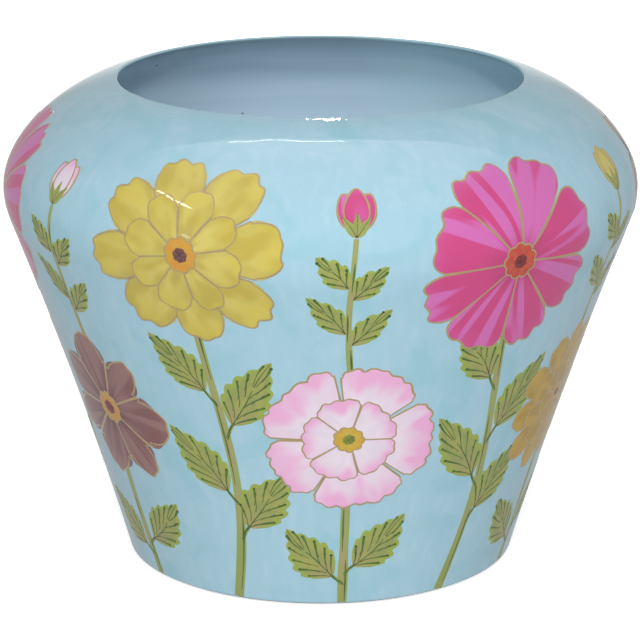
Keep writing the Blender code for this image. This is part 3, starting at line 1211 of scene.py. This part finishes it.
    def dab(self, middle: Pose2D, radius: float, rise: float, paint: Paint) -> None:
        """Lays a small round drop of paint.

        Args:
            middle: its centre.
            radius: its radius.
            rise: its height over the enamel's face.
            paint: the finish.
        """
        turn = np.linspace(0, TURN, self.dab_points, endpoint=False)
        out, up = self.dab_shoulder
        rings = middle.out(radius * np.array([1.0, out])[:, None] * np.exp(1j * turn))
        lifts = np.array([-SINK, up * rise])[:, None]
        top = self.wall.painted(self.upright, np.array([middle.place]), rise)
        self.piece.add_drop(self.wall.painted(self.upright, rings, lifts), top, paint)


@dataclass(frozen=True)
class Petal:
    """The plan of one kind of petal.

    The half width rises from the neck as a sine to the widest place and falls as a cosine to the end. The
    tip is a half ellipse less a row of teeth.
    """

    paint: Paint
    reach: float
    root: float = 3.0 * MM
    neck: float = 0.25
    widest: float = 0.8
    end: float = 0.8
    round_off: float = 0.3
    teeth: int = 0
    tooth: float = 0.0
    fill: float = 0.97

    def outline(self, a: Array, b: Array, half_sector: float) -> tuple[Array, Array]:
        """The petal's points in its own frame.

        Args:
            a: from -1 to 1 across the petal.
            b: from 0 at the root to 1 at the tip.
            half_sector: half the angle that the petal may fill.

        Returns:
            Distances across and along.
        """
        ellipse = np.sqrt(np.clip(1 - np.abs(a) ** 2.2, 0, 1))
        teeth = 1 - np.abs(np.cos(math.pi * self.teeth * a / 2))
        tip = 1 - self.round_off * (1 - ellipse) - self.tooth * teeth
        along = self.root + (self.reach - self.root) * b * (1 - b**3 * (1 - tip))
        rise = self.neck + (1 - self.neck) * np.sin(math.pi / 2 * np.clip(b / self.widest, 0, 1))
        late = np.clip((b - self.widest) / (1 - self.widest), 0, 1)
        fall = 1 - (1 - self.end) * (1 - np.cos(math.pi / 2 * late))
        wish = self.reach * math.tan(half_sector) * rise * fall
        limit = along * math.tan(half_sector) * self.fill
        return a * (wish**-6.0 + limit**-6.0) ** (-1 / 6), along  # a smooth least of the two


@dataclass(frozen=True)
class Ring:
    """A ring of petals."""

    petals: int
    petal: Petal
    start: float = 0.0


@dataclass(frozen=True)
class Bloom:
    """An open flower seen from the front: rings of petals, an eye and a core."""

    rings: tuple[Ring, ...]
    eye: Paint
    core: Paint
    eye_radius: float = 5.2 * MM
    core_radius: float = 2.3 * MM
    eye_lobes: int = 9
    core_lobes: int = 7
    eye_lobe: float = 0.07
    core_lobe: float = 0.06
    dots: int = 0
    dot_radius: float = 0.55 * MM
    first_rise: float = 0.11 * MM
    ring_rise: float = 0.05 * MM
    petal_outline_rise: float = 0.025 * MM
    eye_outline_rise: float = 0.015 * MM
    core_rise: float = 0.035 * MM
    dot_rise: float = 0.02 * MM
    stray: float = 0.09
    eye_points: int = 54
    core_points: int = 42
    columns: int = 25
    rows: int = 14

    def paint(self, painter: Painter, middle: Pose2D, size: float) -> None:
        """Paints the flower.

        Args:
            painter: the hand that paints it.
            middle: its centre and turn.
            size: its scale.
        """
        for level, ring in enumerate(self.rings):
            rise = self.first_rise + level * self.ring_rise
            sector = TURN / ring.petals
            shifts = painter.hand.uniform(-self.stray, self.stray, ring.petals) * sector
            for number in range(ring.petals):
                start = (number + ring.start) * sector + shifts[number]
                end = (number + 1 + ring.start) * sector + shifts[(number + 1) % ring.petals]
                root = middle.ahead(0, (start + end) / 2)
                self.paint_petal(painter, root, ring.petal, (end - start) / 2, rise, size)
        top = self.first_rise + len(self.rings) * self.ring_rise
        eye = painter.lobed(self.eye_radius * size, self.eye_lobes, self.eye_lobe, self.eye_points)
        painter.disc(middle, eye, top, self.eye)
        painter.gold(middle.out(eye), top + self.eye_outline_rise, closed=True)
        core = painter.lobed(self.core_radius * size, self.core_lobes, self.core_lobe, self.core_points)
        painter.disc(middle, core, top + self.core_rise, self.core)
        for number in range(self.dots):
            spoke = TURN * (number + 0.3 * painter.either()) / self.dots
            way = (self.core_radius + self.eye_radius) / 2 * size * painter.vary(0.12)
            place = middle.ahead(way * complex(math.sin(spoke), math.cos(spoke)))
            painter.dab(place, self.dot_radius * painter.vary(0.2), top + self.dot_rise, Paint.GOLD)

    def paint_petal(
        self, painter: Painter, root: Pose2D, petal: Petal, half: float, rise: float, size: float
    ) -> None:
        """Paints one petal and its gold outline.

        Args:
            painter: the hand that paints it.
            root: the flower's centre, and the petal's heading.
            petal: the petal's plan.
            half: half the angle that it may fill.
            rise: its height over the enamel's face.
            size: the flower's scale.
        """
        a, b = np.meshgrid(eased(self.columns, -1, 1), eased(self.rows))
        across, along = petal.outline(a, b, half)
        along = along * size * painter.vary(0.05)
        slow, quick = painter.hand.uniform(0, TURN, 2)
        wobble = 1 + 0.012 * b * (np.sin(5 * a + slow) + np.sin(9 * a + quick))
        grid = root.out(across * size + 1j * along * wobble)
        broad = petal.reach * math.tan(half) * size
        width = 0.4 * broad + 0.6 * across[:, -1:] * size
        painter.patch(grid, rise * (1 - 0.03 * a * a), petal.paint, a, b, width)
        edge = np.concatenate([grid[2:, 0], grid[-1, 1:], grid[-2:1:-1, -1]])
        painter.gold(evenly(edge, painter.line_step), rise + self.petal_outline_rise)


@dataclass(frozen=True)
class Leaf:
    """A broad leaf with a scalloped edge.

    Its half width is a sine of a power of the way along it, plus round teeth, the size of a sine, that
    are pushed forward so that they lean towards the tip.
    """

    length: float
    half_width: float
    bend: float
    teeth: int = 6
    tooth: float = 0.11
    lean: float = 1.3 * MM
    rise: float = 0.045 * MM
    point: float = 0.10 * MM
    vein_rise: float = 0.03 * MM
    blob: float = 0.52 * MM
    blob_rise: float = 0.01 * MM
    columns: int = 9
    rows: int = 12
    tooth_rows: int = 5
    rib_points: int = 9
    vein_points: int = 7
    rib_strokes: tuple = ((0.02, 0.55), (0.6, 0.97))
    branching: float = 0.6

    def place(self, root: Pose2D, a: Array, b: Array) -> Array:
        """Places of the leaf on the wall.

        Args:
            root: its root and heading.
            a: from -1 to 1 across the leaf.
            b: from 0 at the root to 1 at the tip.

        Returns:
            Places on the unrolled wall.
        """
        way = np.clip(b, 0, 1)
        plump = np.sin(math.pi * way**0.66) ** 1.1
        lobe = np.abs(np.sin(math.pi * self.teeth * way)) ** 0.8 * a * a * np.sin(math.pi * way) ** 0.4
        half = self.point + self.half_width * plump * (1 + self.tooth * (2 * lobe - a * a))
        return root.out(a * half + self.bend * b * b + 1j * (self.length * b + self.lean * lobe))

    def paint(self, painter: Painter, root: Pose2D) -> None:
        """Paints the leaf, its midrib and its side veins.

        Args:
            painter: the hand that paints it.
            root: its root and heading.
        """
        rows = self.rows + self.tooth_rows * self.teeth
        a, b = np.meshgrid(eased(self.columns, -1, 1), np.linspace(0, 1, rows))
        grid = self.place(root, a, b)
        painter.patch(grid, self.rise * (1 - 0.2 * a * a), Paint.LEAF, a, b, self.half_width)
        for start, end in self.rib_strokes:
            way = np.linspace(start, end, self.rib_points)
            rib = self.place(root, 0.08 * np.sin(5 * way), way)
            painter.line(rib, (0.55 - 0.25 * way) * MM, self.rise + self.vein_rise, Paint.VEIN)
        for side in (-1, 1):
            for number in range(1, self.teeth):
                end = (number + 0.34 + 0.1 * painter.either()) / self.teeth
                self.paint_vein(painter, root, (0.1 * side, 0.8 * side), (end - 0.28, end), 1.0)
                if painter.hand.uniform() < self.branching:
                    self.paint_vein(painter, root, (0.3 * side, 0.62 * side), (end - 0.2, end - 0.04), 0.75)

    def paint_vein(self, painter: Painter, root: Pose2D, across: tuple, along: tuple, size: float) -> None:
        """Paints one stroke from a blob near the edge that thins towards the midrib.

        Args:
            painter: the hand that paints it.
            root: the leaf's root and heading.
            across: where it starts and ends, from 0 at the midrib to -1 or 1 at the edge.
            along: where it starts and ends, from 0 at the leaf's root to 1 at its tip.
            size: the stroke's weight.
        """
        t = np.linspace(0, 1, self.vein_points)
        path = self.place(root, across[0] + (across[1] - across[0]) * t**1.25,
                          along[0] + (along[1] - along[0]) * t**0.85)
        width = (0.3 + 0.75 * t**1.8) * MM * size * painter.vary(0.25)
        painter.line(path, width, self.rise + self.vein_rise, Paint.VEIN)
        blob = self.blob * size * painter.vary(0.25)
        top = self.rise + self.vein_rise + self.blob_rise
        painter.dab(Pose2D(path[-1]), blob, top, Paint.VEIN)


@dataclass(frozen=True)
class Stem:
    """A stem along a smooth path, wider at its foot, with dark strokes along one side and the other."""

    foot_width: float = 3.4 * MM
    tip_width: float = 2.4 * MM
    rise: float = 0.03 * MM
    stroke_rise: float = 0.04 * MM
    step: float = 1.6 * MM
    columns: int = 7
    near_foot: tuple = (0.15, 0.45)
    sides: tuple = (0.45, -0.35, 0.3)
    first_stroke: float = 0.06
    stroke_gap: float = 0.3
    stroke_share: float = 0.22
    fewest: int = 5

    def paint(self, painter: Painter, path: Array) -> None:
        """Paints the stem.

        Args:
            painter: the hand that paints it.
            path: places on the unrolled wall, from its foot.
        """
        path = evenly(path, self.step)
        path = np.insert(path, 1, path[0] + np.array(self.near_foot) * (path[1] - path[0]))
        step = np.gradient(path)
        right = -1j * step / np.abs(step)
        a, b = np.meshgrid(eased(self.columns, -1, 1), np.linspace(0, 1, len(path)))
        half = (self.foot_width + (self.tip_width - self.foot_width) * b) / 2
        half = half * (1 + 0.06 * np.sin(TURN * 3 * b + painter.hand.uniform(0, TURN)))
        grid = path[:, None] + right[:, None] * a * half
        painter.patch(grid, self.rise * (1.2 - 0.4 * a * a), Paint.STEM, a, b, self.foot_width / 2)
        for number, side in enumerate(self.sides):
            first = int(len(path) * (self.first_stroke + self.stroke_gap * number))
            count = max(self.fewest, int(len(path) * self.stroke_share * painter.vary(0.3)))
            stroke = (path + right * side * half[:, 0])[first:first + count]
            if len(stroke) < self.fewest:
                continue
            width = (0.25 + 0.55 * np.sin(math.pi * np.linspace(0, 1, len(stroke)) ** 1.5)) * MM
            painter.line(stroke, width, self.rise + self.stroke_rise, Paint.VEIN)


class Kind(Enum):
    """The flowers in the frieze."""

    COSMOS = Bloom((
        Ring(8, Petal(Paint.MAGENTA, 31.5 * MM, end=0.86, round_off=0.16, teeth=3, tooth=0.055)),
    ), Paint.EYE_RED, Paint.CORE_MAROON, eye_radius=5.6 * MM)
    COREOPSIS = Bloom((
        Ring(8, Petal(Paint.YELLOW, 30.5 * MM, widest=0.72, end=0.7, teeth=3, tooth=0.05)),
        Ring(8, Petal(Paint.YELLOW, 19.0 * MM, widest=0.7, end=0.7, round_off=0.34), start=0.5),
    ), Paint.EYE_BROWN, Paint.CORE_BROWN, eye_radius=5.0 * MM)
    DOG_ROSE = Bloom((
        Ring(5, Petal(Paint.PINK, 31.0 * MM, end=0.82, teeth=6, tooth=0.06)),
        Ring(5, Petal(Paint.PINK, 18.0 * MM, teeth=4, tooth=0.07), start=0.5),
    ), Paint.EYE_GREEN, Paint.CORE_GREEN, eye_radius=5.4 * MM)
    MARIGOLD = Bloom((
        Ring(11, Petal(Paint.AMBER, 30.5 * MM)),
        Ring(9, Petal(Paint.AMBER, 21.5 * MM), start=0.4),
        Ring(7, Petal(Paint.AMBER, 13.5 * MM, root=2.0 * MM, round_off=0.34), start=0.2),
    ), Paint.EYE_BROWN, Paint.CORE_BROWN, eye_radius=3.9 * MM, core_radius=1.8 * MM)
    ANEMONE = Bloom((
        Ring(7, Petal(Paint.RUST, 31.0 * MM, widest=0.62, end=0.55, round_off=0.42)),
    ), Paint.EYE_BROWN, Paint.CORE_MAROON, eye_radius=6.2 * MM, core_radius=3.0 * MM, dots=11)


@dataclass(frozen=True)
class Bud:
    """A half-open bud: three narrow petals over each other and a green cup of three sepals."""

    petal: Paint
    length: float = 13.0 * MM
    half_width: float = 3.6 * MM
    point: float = 0.2 * MM
    outline_rise: float = 0.04 * MM
    petal_start: float = 1.5 * MM
    sepal_start: float = -0.6 * MM
    sepal_bend: float = 0.4 * MM
    columns: int = 8
    rows: int = 10
    petals: tuple = ((-0.34, 0.9, 0.06 * MM), (0.34, 0.92, 0.06 * MM), (0.0, 1.0, 0.14 * MM))
    sepals: tuple = (-0.55, 0.55, 0.0)

    def paint(self, painter: Painter, root: Pose2D) -> None:
        """Paints the bud.

        Args:
            painter: the hand that paints it.
            root: the top of its stalk, and its heading.
        """
        a, b = np.meshgrid(eased(self.columns, -1, 1), eased(self.rows))
        half = self.point + self.half_width * np.sin(math.pi * b**0.8) ** 0.7
        for turn, reach, rise in self.petals:
            start = root.ahead(1j * self.petal_start, turn)
            grid = start.out(a * half + 1j * self.length * reach * b)
            painter.patch(grid, rise * (1 - 0.1 * a * a), self.petal, a, b, self.half_width)
            edge = np.concatenate([grid[1:, 0], grid[-1, 1:], grid[-2:0:-1, -1]])
            painter.gold(evenly(edge, painter.line_step), rise + self.outline_rise)
        for turn in self.sepals:
            bend = math.copysign(self.sepal_bend, turn)
            sepal = Leaf(7.5 * MM, 1.5 * MM, bend, teeth=0, rise=0.20 * MM)
            sepal.paint(painter, root.ahead(1j * self.sepal_start, turn))


@dataclass
class Plant:
    """What every plant shares: its place, its kind, the hand that paints it and how its leaves sit."""

    wall: Wall
    number: int
    upright: float
    kind: Kind
    seed: int = 7
    size: float = 1.0
    foot: float = 2.0 * MM
    flower_height: float = 124.0 * MM
    height_spread: float = 3.0 * MM
    flower_turn: float = 0.3
    steps: int = 60
    bow: float = 6.5 * MM
    leaf_turn: tuple = (30.0, 6.0)  # in degrees, and how far off it may be
    leaf_half_width: float = 6.8 * MM
    leaf_bend: float = 2.5 * MM
    stalk_drop: float = 2.0 * MM
    stalk_length: float = 5.0 * MM
    stalk_width: float = 1.5 * MM

    def build(self, name: str) -> bpy.types.Object:
        """Paints the plant by a hand of its own.

        Args:
            name: the name that its number is added to.

        Returns:
            The plant's paint as one piece.
        """
        painter = Painter(self.wall, self.upright, np.random.default_rng([self.seed, self.number]))
        self.paint(painter)
        return painter.piece.build(f"{name}_{self.number + 1}", "painted_enamel")

    def paint(self, painter: Painter) -> None:
        """Paints the stem, the leaves and the flower.

        Args:
            painter: the hand that paints them.
        """
        raise NotImplementedError

    def stalk(self, painter: Painter, start: complex, side: int) -> Pose2D:
        """Paints the short stalk of a leaf.

        Args:
            painter: the hand that paints it.
            start: the place on the stem's middle where it leaves.
            side: 1 on the right and -1 on the left.

        Returns:
            The place where its leaf starts.
        """
        steep, spread = self.leaf_turn
        base = Pose2D(start).ahead(side * 0.8 * MM, side * math.radians(steep + spread * painter.either()))
        path = np.array([start - 1j * self.stalk_drop, base.place, base.out(1j * self.stalk_length)])
        Stem(self.stalk_width, self.stalk_width - 0.4 * MM, 0.025 * MM).paint(painter, path)
        return base.ahead(1j * (self.stalk_length - 1 * MM))

    def flower(self, painter: Painter, place: complex) -> None:
        """Paints the flower, turned a little.

        Args:
            painter: the hand that paints it.
            place: its centre.
        """
        turn = float(painter.hand.uniform(-self.flower_turn, self.flower_turn))
        self.kind.value.paint(painter, Pose2D(place, turn), self.size)


@dataclass
class TallPlant(Plant):
    """A flower at the girth on a long stem, with steep leaves on both sides of it."""

    leaves: tuple = ((0.19, 1, 26), (0.32, -1, 29), (0.48, 1, 28), (0.61, -1, 25))

    def paint(self, painter: Painter) -> None:
        """Paints the stem, the leaves and the flower.

        Args:
            painter: the hand that paints them.
        """
        lean = painter.either()
        t = np.linspace(0, 1, self.steps)
        top = self.flower_height + self.height_spread * painter.either()
        bow = self.bow * math.copysign(0.6 + 0.4 * abs(lean), lean)
        sway = bow * (np.sin(math.pi * t) + 0.35 * np.sin(TURN * t))
        path = sway + 1j * (self.foot + (top - self.foot) * t)
        Stem().paint(painter, path)
        for share, side, length in self.leaves:
            start = np.interp(share + 0.025 * painter.either(), t, path)
            leaf_root = self.stalk(painter, start, side)
            reach = length * MM * painter.vary(0.08)
            leaf = Leaf(reach, self.leaf_half_width * painter.vary(0.08), side * self.leaf_bend)
            leaf.paint(painter, leaf_root)
        self.flower(painter, path[-1])


@dataclass
class ShortPlant(Plant):
    """A flower low on the wall between two long stems, with broad leaves below it and buds above."""

    seed: int = 11
    size: float = 0.82
    flower_height: float = 65.0 * MM
    height_spread: float = 2.0 * MM
    steps: int = 40
    bow: float = 2.5 * MM
    leaf_turn: tuple = (50.0, 4.0)
    leaf_half_width: float = 6.6 * MM
    leaf_bend: float = -3.0 * MM
    stalk_drop: float = 1.5 * MM
    stalk_length: float = 4.0 * MM
    stalk_width: float = 1.6 * MM
    bud: Paint = Paint.MAGENTA
    sprig_gap: float = 20.0 * MM
    sprig_top: float = 134.0 * MM
    sprig_bow: float = 2.0 * MM
    leaves: tuple = ((0.13, -1, 23), (0.19, 1, 24))
    sprig_leaves: tuple = ((0.28, 1, 17), (0.36, -1, 18), (0.60, 1, 15), (0.68, -1, 14))

    def paint(self, painter: Painter) -> None:
        """Paints the stem, the leaves, the sprig and the flower.

        Args:
            painter: the hand that paints them.
        """
        t = np.linspace(0, 1, self.steps)
        top = self.flower_height + self.height_spread * painter.either()
        bow = self.bow * painter.either()
        Stem().paint(painter, bow * np.sin(math.pi * t) + 1j * (self.foot + (top - self.foot) * t))
        for share, side, length in self.leaves:
            start = complex(bow * math.sin(math.pi * share), self.foot + (top - self.foot) * share)
            leaf_root = self.stalk(painter, start, side)
            Leaf(length * MM, self.leaf_half_width, side * self.leaf_bend).paint(painter, leaf_root)
        self.paint_sprig(painter, top + self.sprig_gap)
        self.flower(painter, 1j * top)

    def paint_sprig(self, painter: Painter, foot: float) -> None:
        """Paints the sprig of leaves and its bud above the flower.

        Args:
            painter: the hand that paints it.
            foot: the height where it starts.
        """
        t = np.linspace(0, 1, self.steps)
        bow = self.sprig_bow * painter.either()
        path = bow * np.sin(math.pi * t) + 1j * (foot + (self.sprig_top - foot) * t)
        Stem(2.2 * MM, 1.6 * MM).paint(painter, path)
        for share, side, length in self.sprig_leaves:
            root = Pose2D(np.interp(share, t, path)).ahead(side * 0.7 * MM, side * math.radians(38))
            Leaf(length * MM, 3.9 * MM, side * 1.5 * MM, teeth=4).paint(painter, root)
        Bud(self.bud).paint(painter, Pose2D(path[-1], 0.05))


@dataclass
class PaintedFrieze:
    """Six tall plants and six short ones, evenly round the vase."""

    wall: Wall
    first: float = math.radians(-24)
    tall: tuple = (Kind.COREOPSIS, Kind.COSMOS, Kind.ANEMONE, Kind.DOG_ROSE, Kind.MARIGOLD, Kind.COSMOS)
    short: tuple = (Kind.DOG_ROSE, Kind.MARIGOLD, Kind.COREOPSIS, Kind.ANEMONE, Kind.COREOPSIS, Kind.ANEMONE)
    buds: tuple = (Paint.MAGENTA, Paint.YELLOW, Paint.PINK, Paint.MAGENTA, Paint.AMBER, Paint.PINK)

    def build(self) -> None:
        """Paints every plant."""
        step = TURN / len(self.tall)
        for number, kind in enumerate(self.tall):
            TallPlant(self.wall, number, self.first + number * step, kind).build("tall_plant")
        for number, (kind, bud) in enumerate(zip(self.short, self.buds)):
            upright = self.first + (number + 0.5) * step
            ShortPlant(self.wall, number, upright, kind, bud=bud).build("short_plant")


class Use(Enum):
    """What a softbox does: it lights the paint or shows in the gloss, as (paint, gloss)."""

    PAINT = (True, False)
    GLOSS = (False, True)


@dataclass(frozen=True)
class Softbox:
    """A soft light on an arc over the vase.

    It hangs this many degrees from straight up, towards the front, then goes round the vase by its way
    round, towards +X. It faces the vase and is rolled about that line. Its cloth is brightest in the
    middle, and its light falls off evenly towards the edges over the given shares of its half width and
    half height. Where its back is crisp, it falls off towards the front edge only. The shift moves it
    sideways.
    """

    name: str
    turn: float
    size: tuple
    radiance: float
    use: Use = Use.PAINT
    way_round: float = 0.0
    roll: float = 0.0
    fade: tuple = (0.35, 1.0)
    crisp_back: bool = False
    distance: float = 1.2
    shift: float = 0.0


@dataclass
class Studio:
    """Plain floor, soft light and the camera."""

    boxes: tuple = (
        Softbox("key_softbox", 60.0, (0.8, 0.688), 3.6, fade=(0.6, 1.0)),
        Softbox("key_lamp", 65.5, (0.05, 0.05), 520.0, fade=(0.0, 0.0)),
        Softbox("low_softbox", 84.0, (0.8, 0.688), 5.6, fade=(0.6, 1.0)),
        Softbox("rear_softbox", 82.0, (0.8, 0.688), 5.0, way_round=180.0, fade=(0.6, 1.0)),
        Softbox("ceiling_edge_glow", -11.5, (2.0, 0.488), 1.4, Use.GLOSS, fade=(0.8, 1.22), crisp_back=True),
        Softbox("ceiling_glow", 0.0, (2.0, 0.688), 0.75, Use.GLOSS),
        Softbox("upper_glow", 16.0, (2.0, 0.688), 0.53, Use.GLOSS),
        Softbox("front_glow", 32.0, (2.0, 0.688), 0.29, Use.GLOSS),
        Softbox("tube_lamp", -21.0, (0.40, 0.0065), 20.0, Use.GLOSS, fade=(0.0, 0.0), shift=-0.125),
        Softbox("side_glint", 45.1, (0.363, 0.016), 20.0, Use.GLOSS, -66.3, -16.3, (0.0, 0.0)),
        Softbox("low_glint", 77.1, (0.10, 0.05), 4.0, Use.GLOSS, -46.6, -52.4, (0.0, 0.0)),
        Softbox("lip_glint", 49.8, (0.032, 0.10), 24.0, Use.GLOSS, 179.5, 0.0, (0.0, 0.0)),
        Softbox("back_glow", 93.0, (0.7, 0.70), 0.5, Use.GLOSS, 180.0, fade=(0.5, 0.5)),
    )
    centre_height: float = 0.12
    room: float = 0.50
    target: tuple = (-0.19 * MM, 0.0, 73.4 * MM)
    distance: float = 983.0 * MM
    elevation: float = math.radians(16.24)
    lens: float = 172.7
    sensor: float = 36.0
    far_end: float = 50.0
    floor_reach: float = 3.0
    floor_points: int = 7

    def camera(self) -> None:
        """A long lens at the height and distance that the vase was seen from."""
        data = bpy.data.cameras.new("camera")
        data.lens = self.lens
        data.sensor_width = self.sensor
        data.clip_end = self.far_end
        camera = bpy.data.objects.new("camera", data)
        x, y, z = self.target
        back, up = self.distance * math.cos(self.elevation), self.distance * math.sin(self.elevation)
        camera.location = (x, y - back, z + up)
        camera.rotation_euler = (math.pi / 2 - self.elevation, 0.0, 0.0)
        bpy.context.scene.collection.objects.link(camera)
        bpy.context.scene.camera = camera

    def panel(self, box: Softbox) -> None:
        """Hangs a softbox.

        Args:
            box: its size, place and brightness.
        """
        data = bpy.data.lights.new(box.name, "AREA")
        data.shape = "RECTANGLE"
        data.size, data.size_y = box.size
        data.energy = box.radiance * math.pi * box.size[0] * box.size[1]
        data.use_nodes = True
        tree = data.node_tree
        cloth = add_node(tree, "NewGeometry").outputs["Parametric"]
        place = add_node(tree, "SeparateXYZ", None, {0: cloth})
        share: Setting = 1.0
        for axis, fade in enumerate(box.fade):  # 0.5 is the cloth's edge
            off = add_node(tree, "Math", {"operation": "SUBTRACT"}, {0: place.outputs[axis], 1: 0.5})
            fold = "MULTIPLY" if axis and box.crisp_back else "ABSOLUTE"
            out = add_node(tree, "Math", {"operation": fold}, {0: off.outputs[0], 1: -1.0})
            left = add_node(tree, "MapRange", None, {
                "Value": out.outputs[0], "From Min": 0.5 - 0.5 * fade - 0.001, "From Max": 0.5,
                "To Min": 1.0, "To Max": 0.0 if fade else 1.0}).outputs[0]
            share = add_node(tree, "Math", {"operation": "MULTIPLY"}, {0: share, 1: left}).outputs[0]
        tree.links.new(share, tree.nodes["Emission"].inputs["Strength"])
        light = bpy.data.objects.new(box.name, data)
        turn, way, roll = (math.radians(angle) for angle in (box.turn, box.way_round, box.roll))
        across, ahead = box.shift, box.distance * math.sin(turn)
        light.location = (across * math.cos(way) + ahead * math.sin(way),
                          across * math.sin(way) - ahead * math.cos(way),
                          self.centre_height + box.distance * math.cos(turn))
        facing = Matrix.Rotation(way, 3, "Z") @ Matrix.Rotation(turn, 3, "X")
        light.rotation_euler = (facing @ Matrix.Rotation(roll, 3, "Z")).to_euler()
        light.visible_diffuse, light.visible_glossy = box.use.value
        light.visible_camera = False
        bpy.context.scene.collection.objects.link(light)

    def floor(self) -> None:
        """A wide sheet of white paper under the vase."""
        sheet = bpy.data.meshes.new("floor")
        side = np.linspace(-self.floor_reach, self.floor_reach, self.floor_points)
        x, y = np.meshgrid(side, side)
        points = np.stack([x, y, np.zeros_like(x)], axis=-1).reshape(-1, 3)
        sheet.from_pydata(points.tolist(), [], quads(np.arange(x.size).reshape(x.shape)).tolist())
        sheet.materials.append(StudioPaper("white_studio_paper").material())
        paper = bpy.data.objects.new("floor", sheet)
        bpy.context.scene.collection.objects.link(paper)
        paper.visible_diffuse = False
        paper.visible_glossy = False

    def world(self) -> None:
        """An even pale surround."""
        world = bpy.data.worlds.new("studio_surround")
        world.use_nodes = True
        background = world.node_tree.nodes["Background"]
        background.inputs["Color"].default_value = (1.0, 1.0, 1.0, 1.0)
        background.inputs["Strength"].default_value = self.room
        bpy.context.scene.world = world
        bpy.context.scene.view_settings.view_transform = "Standard"

    def build(self) -> None:
        """Sets up floor, lights and camera."""
        self.world()
        self.floor()
        for box in self.boxes:
            self.panel(box)
        self.camera()


def main() -> None:
    """Builds the vase, its paint and the studio, in that order."""
    logging.basicConfig(level=logging.INFO, format="%(name)s %(message)s")
    wall = Wall()
    Shell(wall).build()
    PaintedFrieze(wall).build()
    Studio().build()


if __name__ == "__main__":
    main()
